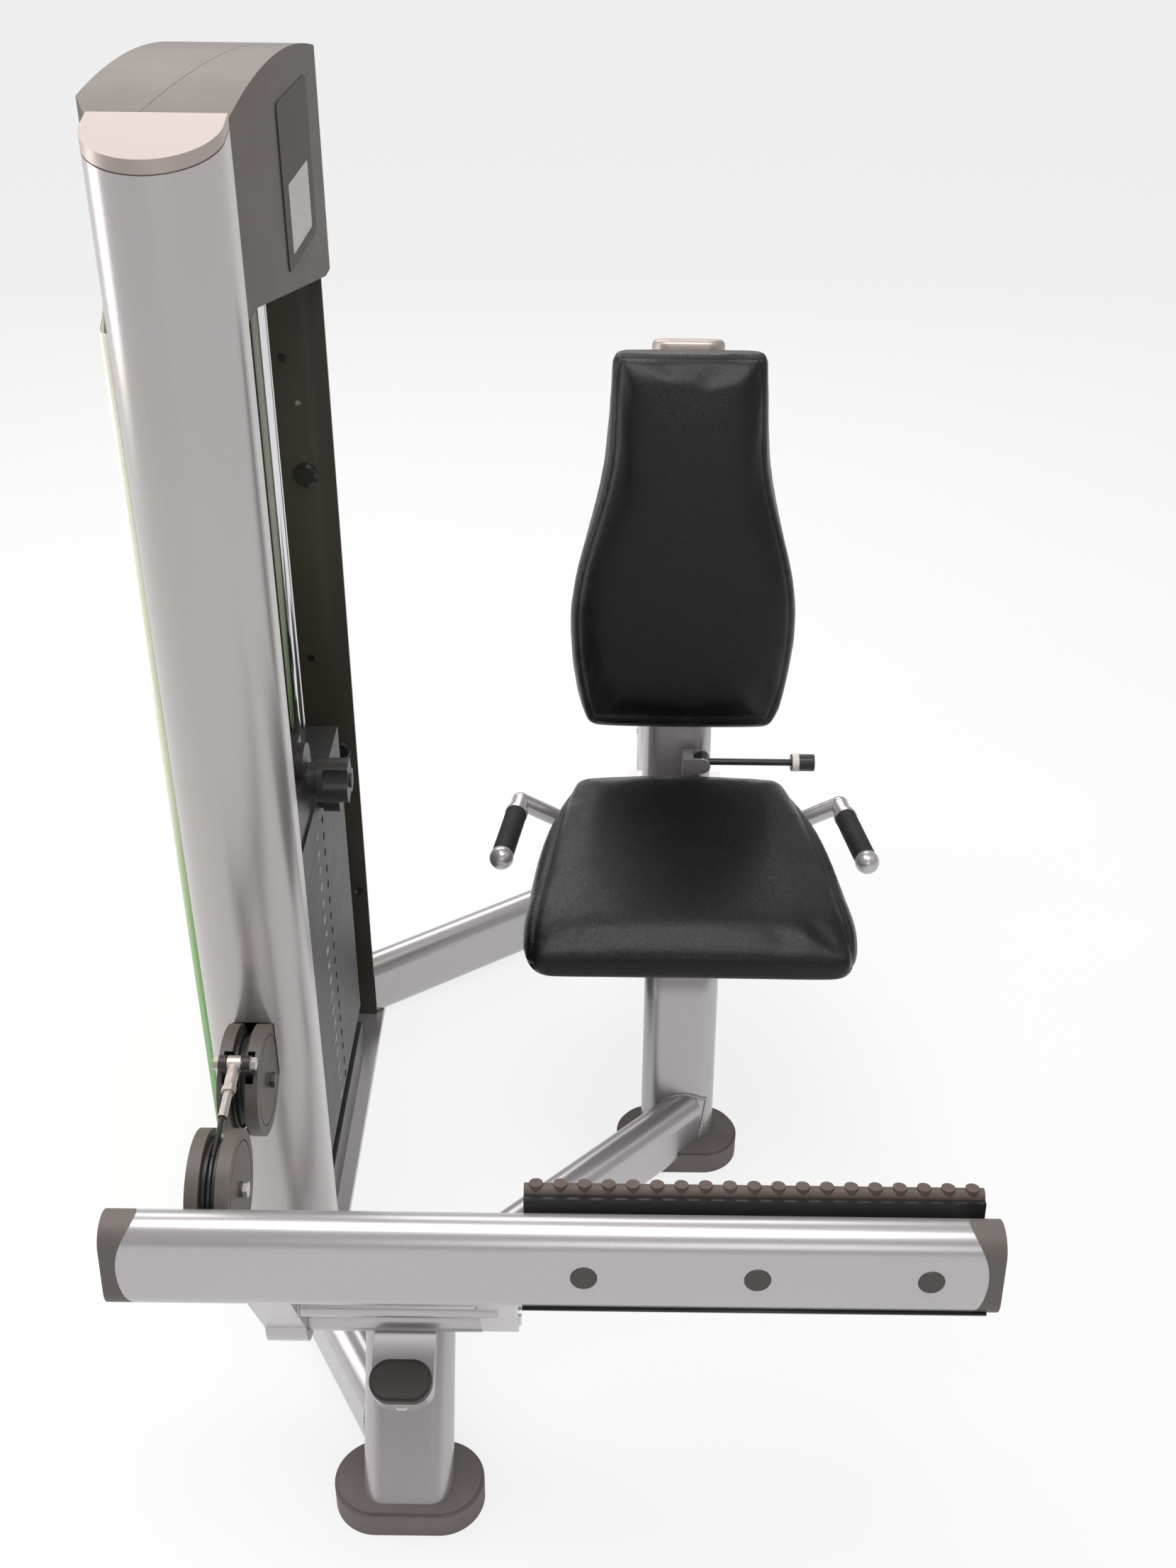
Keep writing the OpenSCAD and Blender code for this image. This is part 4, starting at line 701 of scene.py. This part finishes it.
jacket, jacket_shader, at = finish("cable_jacket", roughness=0.34, coat=0.2)
feed(jacket_shader, colour=at.grain(60).tint((0.012, 0.012, 0.012), (0.022, 0.021, 0.020)),
     roughness=0.28 + 0.14 * at.grain(25), normal=at.grain(500).relief(0.0001, 0.3))
dress(zinc, "cable_clevis")
cable_x = -0.187
cable_radius = 0.0032
wrap = 0.052
arm_wheel = Vector((cable_x, 0.062, 0.428))
column_wheel = Vector((cable_x, 0.230, 0.428))
top_front = Vector((cable_x, 0.334, 1.339))
top_rear = Vector((cable_x, 0.533, 1.339))
anchor = Vector((cable_x, 0.184, 0.493))


def arc(centre, start, end, steps=40):
    """Points of the cable lying on a wheel between two angles, in degrees."""
    turns = [math.radians(start + (end - start) * k / steps) for k in range(steps + 1)]
    return [centre + Vector((0, math.cos(a), math.sin(a))) * wrap for a in turns]


def straight(start, end, steps):
    return [Vector(start).lerp(Vector(end), k / steps) for k in range(steps + 1)]


def cable_run(name, points, node):
    """One run of the cable, in place of its plain solid."""
    run = round_wire(name, points, cable_radius, jacket, sides=16)
    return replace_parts(run, node)


clevis_reach = 0.076
reach = anchor - arm_wheel
touch_angle = math.degrees(math.atan2(reach.z, reach.y) + math.acos(wrap / reach.length))
touch = arc(arm_wheel, touch_angle, touch_angle + 1, 1)[0]
lead_start = anchor + (touch - anchor).normalized() * clevis_reach
low_a = arm_wheel - up * wrap
low_b = column_wheel - up * wrap

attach(cable_run("cable_on_arm_wheel", arc(arm_wheel, touch_angle, 270), "cable_arm"), "press_arm")
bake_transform(cable_run("cable_lead", straight(lead_start, touch, 24), "cable_arm"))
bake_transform(cable_run("cable_low_run", straight(low_b, low_a, 40), "cable_arm"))

back_wrap = Vector((0, wrap, 0))
column_path = (arc(column_wheel, 270, 360)
               + straight(column_wheel + back_wrap, top_front - back_wrap, 24)[1:-1]
               + arc(top_front, 180, 90)
               + straight(top_front + up * wrap, top_rear + up * wrap, 8)[1:-1]
               + arc(top_rear, 90, 0))
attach(cable_run("cable_over_top", column_path, "cable_column"), "frame")

stack_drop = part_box("cable_stack")
drop_low, drop_high = stack_drop[0][2], stack_drop[1][2]
drop_y = 0.585
drop = straight((cable_x, drop_y, drop_low), (cable_x, drop_y, drop_high), 30)
drop_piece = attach(cable_run("cable_to_stack", drop, "cable_stack"), "frame")
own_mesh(drop_piece)


# ---------------------------------------------------------------------------
# Seat: moulded foam on a black board, covered in glossy black grained vinyl. The top panel and
# the two side panels meet in sewn seams that run back and inwards.

stitch_pitch = 0.0042
stitch_off = 0.0032


def vinyl(name, seam_width):
    """Grained black vinyl with a sewn seam, its crease darkened as painted shade; the mesh says how
    far off the seam each point is.
    """
    material, shader, place = finish(name, specular=0.34)
    pebble = place.cells(620, "DISTANCE_TO_EDGE").ramp(0.0, 0.25)
    fold = place.grain(26, 4, 0.55)
    seam = place.node("Attribute", {"attribute_name": "seam"}, {}, 2)
    run = place.node("Attribute", {"attribute_name": "run"}, {}, 2)
    crease = 1 - seam.size().ramp(0.0003, seam_width)
    stitch_line = 1 - (seam.size() - stitch_off).size().ramp(0.0003, 0.0006)
    wave = run * (2 * math.pi / stitch_pitch)
    stitch = stitch_line * (wave.math("SINE", wave) > -0.35)
    base = fold.tint((0.0030, 0.0027, 0.0027), (0.0062, 0.0056, 0.0056))
    sewn = (stitch * 0.55).tint(base, (0.05, 0.047, 0.045))
    # Painted shade: the colour in the seam's crease is darkened to near black, on top of the groove
    # cut in the mesh and the bump.
    feed(shader, colour=(crease * 0.8).tint(sewn, (0.002, 0.002, 0.002)),
         roughness=0.20 + 0.12 * place.grain(9, 3) + 0.08 * (1 - pebble),
         normal=(pebble * 0.2 + fold * 0.6 - crease * 1.6 + stitch * 0.5).relief(0.0011, 0.5))
    return material


cover_grid = 0.0055
cover_swell = 0.006
blow_frames = 20
channel_reach = 0.0045


def padded_cover(node, name, material, back_way, ease, seam_of):
    """Foam cover grown from a cushion's solid: blown out as cloth, kept flat on its board."""
    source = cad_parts[node].data.copy()
    shape = bmesh.new()
    shape.from_mesh(source)
    bmesh.ops.remove_doubles(shape, verts=shape.verts, dist=1e-5)
    shape.to_mesh(source)
    shape.free()
    cover = bpy.data.objects.new(name, source)
    bpy.context.collection.objects.link(cover)
    bpy.context.view_layer.objects.active = cover
    with bpy.context.temp_override(object=cover, active_object=cover, selected_objects=[cover]):
        remesh = cover.modifiers.new("even", "REMESH")
        remesh.mode = "VOXEL"
        remesh.voxel_size = cover_grid
        bpy.ops.object.modifier_apply(modifier=remesh.name)
    for vertex in cover.data.vertices:
        vertex.co = ease(vertex.co)
    rest = [v.co.copy() for v in cover.data.vertices]
    flat = [n for n, v in enumerate(cover.data.vertices) if v.normal.dot(back_way) > 0.8]
    held = cover.vertex_groups.new(name="held")
    held.add(flat, 1.0, "REPLACE")
    cloth = cover.modifiers.new("blow", "CLOTH")
    cloth.settings.use_pressure = True
    cloth.settings.uniform_pressure_force = 4
    cloth.settings.effector_weights.gravity = 0
    cloth.settings.vertex_group_mass = "held"
    cloth.settings.tension_stiffness = 25
    cloth.settings.compression_stiffness = 25
    scene = bpy.context.scene
    for step in range(1, blow_frames + 1):
        scene.frame_set(step)
    blown = cover.evaluated_get(bpy.context.evaluated_depsgraph_get()).data
    moved = [v.co.copy() for v in blown.vertices]
    cover.modifiers.remove(cloth)
    scene.frame_set(1)
    for vertex, old, new in zip(cover.data.vertices, rest, moved):
        shift = new - old
        if shift.length > cover_swell:
            shift *= cover_swell / shift.length
        vertex.co = old + shift
    cover.vertex_groups.clear()
    with bpy.context.temp_override(object=cover, active_object=cover, selected_objects=[cover]):
        soften = cover.modifiers.new("soften", "CORRECTIVE_SMOOTH")
        soften.iterations = 8
        soften.smooth_type = "SIMPLE"
        soften.use_only_smooth = True
        finer = cover.modifiers.new("finer", "SUBSURF")
        finer.levels = finer.render_levels = 1
        bpy.ops.object.modifier_apply(modifier=soften.name)
        bpy.ops.object.modifier_apply(modifier=finer.name)
    seam = cover.data.attributes.new("seam", "FLOAT", "POINT")
    run = cover.data.attributes.new("run", "FLOAT", "POINT")
    normals = [v.normal.copy() for v in cover.data.vertices]
    for index, vertex in enumerate(cover.data.vertices):
        away, along, depth = seam_of(vertex.co, normals[index])
        seam.data[index].value = away
        run.data[index].value = along
        vertex.co -= normals[index] * depth * math.exp(-(away / channel_reach) ** 2)
    cover.data.shade_smooth()
    cover.data.materials.clear()
    cover.data.materials.append(material)
    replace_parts(cover, node)
    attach(cover, "seat")
    return cover


seat_x, seat_front, seat_long = 0.3275, 0.436, 0.435
seat_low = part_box("seat_pad")[0][2]
seat_half, seat_thick = 0.2, 0.062
side_belly, rear_belly, front_roll = 0.015, 0.007, 0.005
seam_half, seam_run_in, seam_depth = 0.205, 0.052, 0.0026
no_seam = 0.05


def smooth_share(value, low, high):
    """0 at low, 1 at high, easing in and out between."""
    share = min(1, max(0, (value - low) / (high - low)))
    return share * share * (3 - 2 * share)


def seat_ease(point):
    """The foam bellies out at the sides and back, and its lower front edge is pulled up."""
    share = (point.y - seat_front) / seat_long
    belly = side_belly * smooth_share(share, 0.2, 0.72)
    across = (point.x - seat_x) / seat_half
    rise = max(0, 1 - (point.z - seat_low) / seat_thick)
    roll = front_roll * (1 - smooth_share(share, 0.0, 0.11)) * rise
    back = rear_belly * smooth_share(share, 0.85, 1.0)
    return Vector((point.x + belly * max(-1, min(1, across)), point.y + back, point.z + roll))


def seat_seam(point, normal):
    """Distance to the nearer sewn seam of the seat, the way along it, and its depth."""
    share = (point.y - seat_front) / seat_long
    line = seam_half - seam_run_in * share
    away = (abs(point.x - seat_x) - line) * 0.99
    depth = seam_depth if point.z > seat_low + 0.012 and normal.z > -0.4 else 0.0
    return (away if depth else no_seam), point.y * 1.01, depth


padded_cover("seat_pad", "seat_cushion", vinyl("seat_vinyl", 0.0011), Vector((0, 0, -1)),
             seat_ease, seat_seam)

board_black = moulded("board_black", (0.020, 0.0185, 0.0175), roughness=0.6, grain=260,
                      depth=0.0003)
board_drawn_in = (0.91, 0.92, 1)
board = bmesh.new()
board.from_mesh(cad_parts["seat_board"].data)
(board_x0, _, _), (board_x1, board_rear, _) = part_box("seat_board")
rear_middle = Matrix.Translation(((board_x0 + board_x1) / 2, board_rear, 0))
bmesh.ops.scale(board, vec=board_drawn_in, space=rear_middle.inverted(), verts=board.verts)
bmesh.ops.remove_doubles(board, verts=board.verts, dist=1e-5)
bmesh.ops.dissolve_limit(board, angle_limit=math.radians(2), verts=board.verts, edges=board.edges)
bmesh.ops.bevel(board, geom=[e for e in board.edges if e.calc_face_angle(0) > 1],
                offset=0.0015, segments=2, profile=0.5, affect="EDGES", material=-1)
board_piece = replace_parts(piece("seat_board_panel", board, board_black), "seat_board")
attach(board_piece, "seat")


# ---------------------------------------------------------------------------
# Backrest: the same foam and vinyl on a waisted board, with a piped edge sewn all round the
# front, bolted to the leaning tube through two tabs. A silver cap closes the tube.

back_long = 0.532
back_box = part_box("back_pad")
back_wide = (back_box[1][0] - back_box[0][0]) / 2
back_low_y, back_low_z = 0.871, 0.520
recline = math.radians(14)
back_place = (Matrix.Translation((seat_x, back_low_y, back_low_z))
              @ Matrix.Rotation(-recline, 4, "X"))
to_back = back_place.inverted()


def back_half(share):
    """Half width of the backrest at a share of its length from the bottom."""
    hip, neck = 0.3, 0.78
    if share < hip:
        return back_wide * (0.87 + 0.13 * math.sin(share / hip * math.pi / 2))
    if share < neck:
        return back_wide * (0.85 + 0.15 * math.cos((share - hip) / (neck - hip) * math.pi))
    return back_wide * (0.70 - 0.015 * (share - neck) / (1 - neck))


def back_ease(point):
    """A fuller lower end, as the foam is wrapped under it, and slightly fuller sides."""
    wrapped, hung, wider = 0.16, 0.009, 1.018
    local = to_back @ point
    local.z -= hung * (1 - smooth_share(local.z, 0.0, wrapped))
    local.x *= wider
    return back_place @ local


piping_in, piping_depth = 0.013, 0.0018


def back_seam(point, normal):
    """Distance to the piping line, the way along it, and its depth."""
    local = to_back @ point
    share = min(1, max(0, local.z / back_long))
    ends = max(0.0, 1 - abs(2 * share - 1) ** 8) ** 0.125
    side = back_half(share) * (0.66 + 0.34 * ends) - abs(local.x)
    end = min(local.z, back_long - local.z)
    near = min(side, end)
    front = normal.dot(back_place.to_3x3() @ Vector((0, -1, 0)))
    depth = piping_depth if front > 0.1 and local.y < 0.035 else 0.0
    return (near - piping_in if depth else no_seam), local.z if side < end else local.x, depth


padded_cover("back_pad", "back_cushion", vinyl("back_vinyl", 0.0013),
             back_place.to_3x3() @ Vector((0, 1, 0)), back_ease, back_seam)


tab_size = (0.150, 0.003, 0.032)
tab_middle, tab_face = 0.0739, 0.0754
screw_out = 0.064


def back_tab(name, high):
    """Tab across the leaning tube with a screw at each end."""
    tab = bmesh.new()
    bmesh.ops.create_cube(tab, size=1)
    bmesh.ops.scale(tab, vec=tab_size, verts=tab.verts)
    corners = [e for e in tab.edges if abs(e.verts[0].co.y - e.verts[1].co.y) > 0.001]
    bmesh.ops.bevel(tab, geom=corners, offset=0.008, segments=5, profile=0.5, affect="EDGES",
                    material=-1)
    rims = [e for e in tab.edges if e.calc_face_angle() > 0.6]
    bmesh.ops.bevel(tab, geom=rims, offset=0.0005, segments=1, profile=0.5, affect="EDGES",
                    material=-1)
    bmesh.ops.transform(tab, matrix=back_place @ Matrix.Translation((0, tab_middle, high)),
                        verts=tab.verts)
    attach(piece(name, tab, frame_silver), "seat")
    for side, word in ((-1, "left"), (1, "right")):
        screw_foot = back_place @ Vector((side * screw_out, tab_face, high))
        fixed_screw(f"{name}_screw_{word}", "seat", screw_foot,
                    back_place.to_3x3() @ Vector((0, 1, 0)), 0.0055)


back_tab("back_tab_low", 0.09)
back_tab("back_tab_high", 0.44)

post_top_z = 1.030
post_middle = 0.0978
cap_thick = 0.015
post_top = (post_top_z - back_low_z) / math.cos(recline)
post_cap = bmesh.new()
ring = oval_ring((0, post_middle, post_top), up, (1, 0, 0), count=64)
face = post_cap.faces.new([post_cap.verts.new(point) for point in ring])
grown = bmesh.ops.extrude_face_region(post_cap, geom=[face])["geom"]
bmesh.ops.translate(post_cap, vec=(0, 0, cap_thick), verts=verts_of(grown))
top_rim = [e for e in post_cap.edges
           if all(v.co.z > post_top + cap_thick / 2 for v in e.verts)]
bmesh.ops.bevel(post_cap, geom=top_rim, offset=0.008, segments=5, profile=0.5, affect="EDGES",
                material=-1)
bmesh.ops.transform(post_cap, matrix=back_place, verts=post_cap.verts)
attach(piece("back_post_cap", post_cap, cap_plastic), "seat")


# ---------------------------------------------------------------------------
# Hand grips: ribbed black rubber sleeves pushed onto the silver handle tubes, between a collar
# and a domed end.

grip_rubber = moulded("grip_rubber", (0.014, 0.0135, 0.013), roughness=0.62, grain=600,
                      depth=0.0003)
grip_outer = 0.0151
grip_inner = 0.0146
groove = 0.0004
ribs = 36
bare_elbow, bare_tip = 0.0365, 0.0125


def turned_ring(section, steps):
    """A ring turned round Z from its closed section of radii and heights."""
    made = bmesh.new()
    verts = [made.verts.new((radius, 0, height)) for radius, height in section]
    edges = [made.edges.new(pair) for pair in zip(verts, verts[1:] + verts[:1])]
    bmesh.ops.spin(made, geom=verts + edges, cent=(0, 0, 0), axis=(0, 0, 1), angle=2 * math.pi,
                   steps=steps, use_merge=True)
    return made


def grip_sleeve(name, side):
    """Ribbed sleeve between the handle's elbow and its domed end."""
    elbow = Vector((seat_x + side * 0.230, 0.820, 0.430))
    tip = Vector((seat_x + side * 0.251, 0.670, 0.430))
    way = tip - elbow
    start, end = bare_elbow, way.length - bare_tip
    step = (end - start) / ribs
    section = [(grip_inner, start)]
    for index in range(ribs):
        low = start + step * index
        section += [(grip_outer, low), (grip_outer, low + step * 0.62),
                    (grip_outer - groove, low + step * 0.7),
                    (grip_outer - groove, low + step * 0.92)]
    section += [(grip_outer, end), (grip_inner, end)]
    sleeve = turned_ring(section, 40)
    bmesh.ops.transform(sleeve, matrix=standing(elbow, way), verts=sleeve.verts)
    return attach(piece(name, sleeve, grip_rubber), "seat")


grip_sleeve("grip_left", -1)
grip_sleeve("grip_right", 1)


# ---------------------------------------------------------------------------
# Seat lever: a black coated steel rod on a pin beside the backrest tube, ending in a black knob
# with a pale collar that shows which part to lift.

dress(black_coat, "seat_lever")
collar_ring, collar_shader, at = finish("pale_collar", roughness=0.4)
feed(collar_shader, colour=at.grain(90).tint((0.66, 0.61, 0.58), (0.80, 0.76, 0.73)),
     roughness=0.36 + 0.1 * at.grain(200))
collar = turned_ring([(0.01255, 0.0), (0.0131, 0.0006), (0.0131, 0.0094), (0.01255, 0.010)], 48)
collar_place = Matrix.Translation((0.4935, 0.890, 0.458)) @ Matrix.Rotation(math.pi / 2, 4, "Y")
bmesh.ops.transform(collar, matrix=collar_place, verts=collar.verts)
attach(piece("lever_collar", collar, collar_ring), "lever")
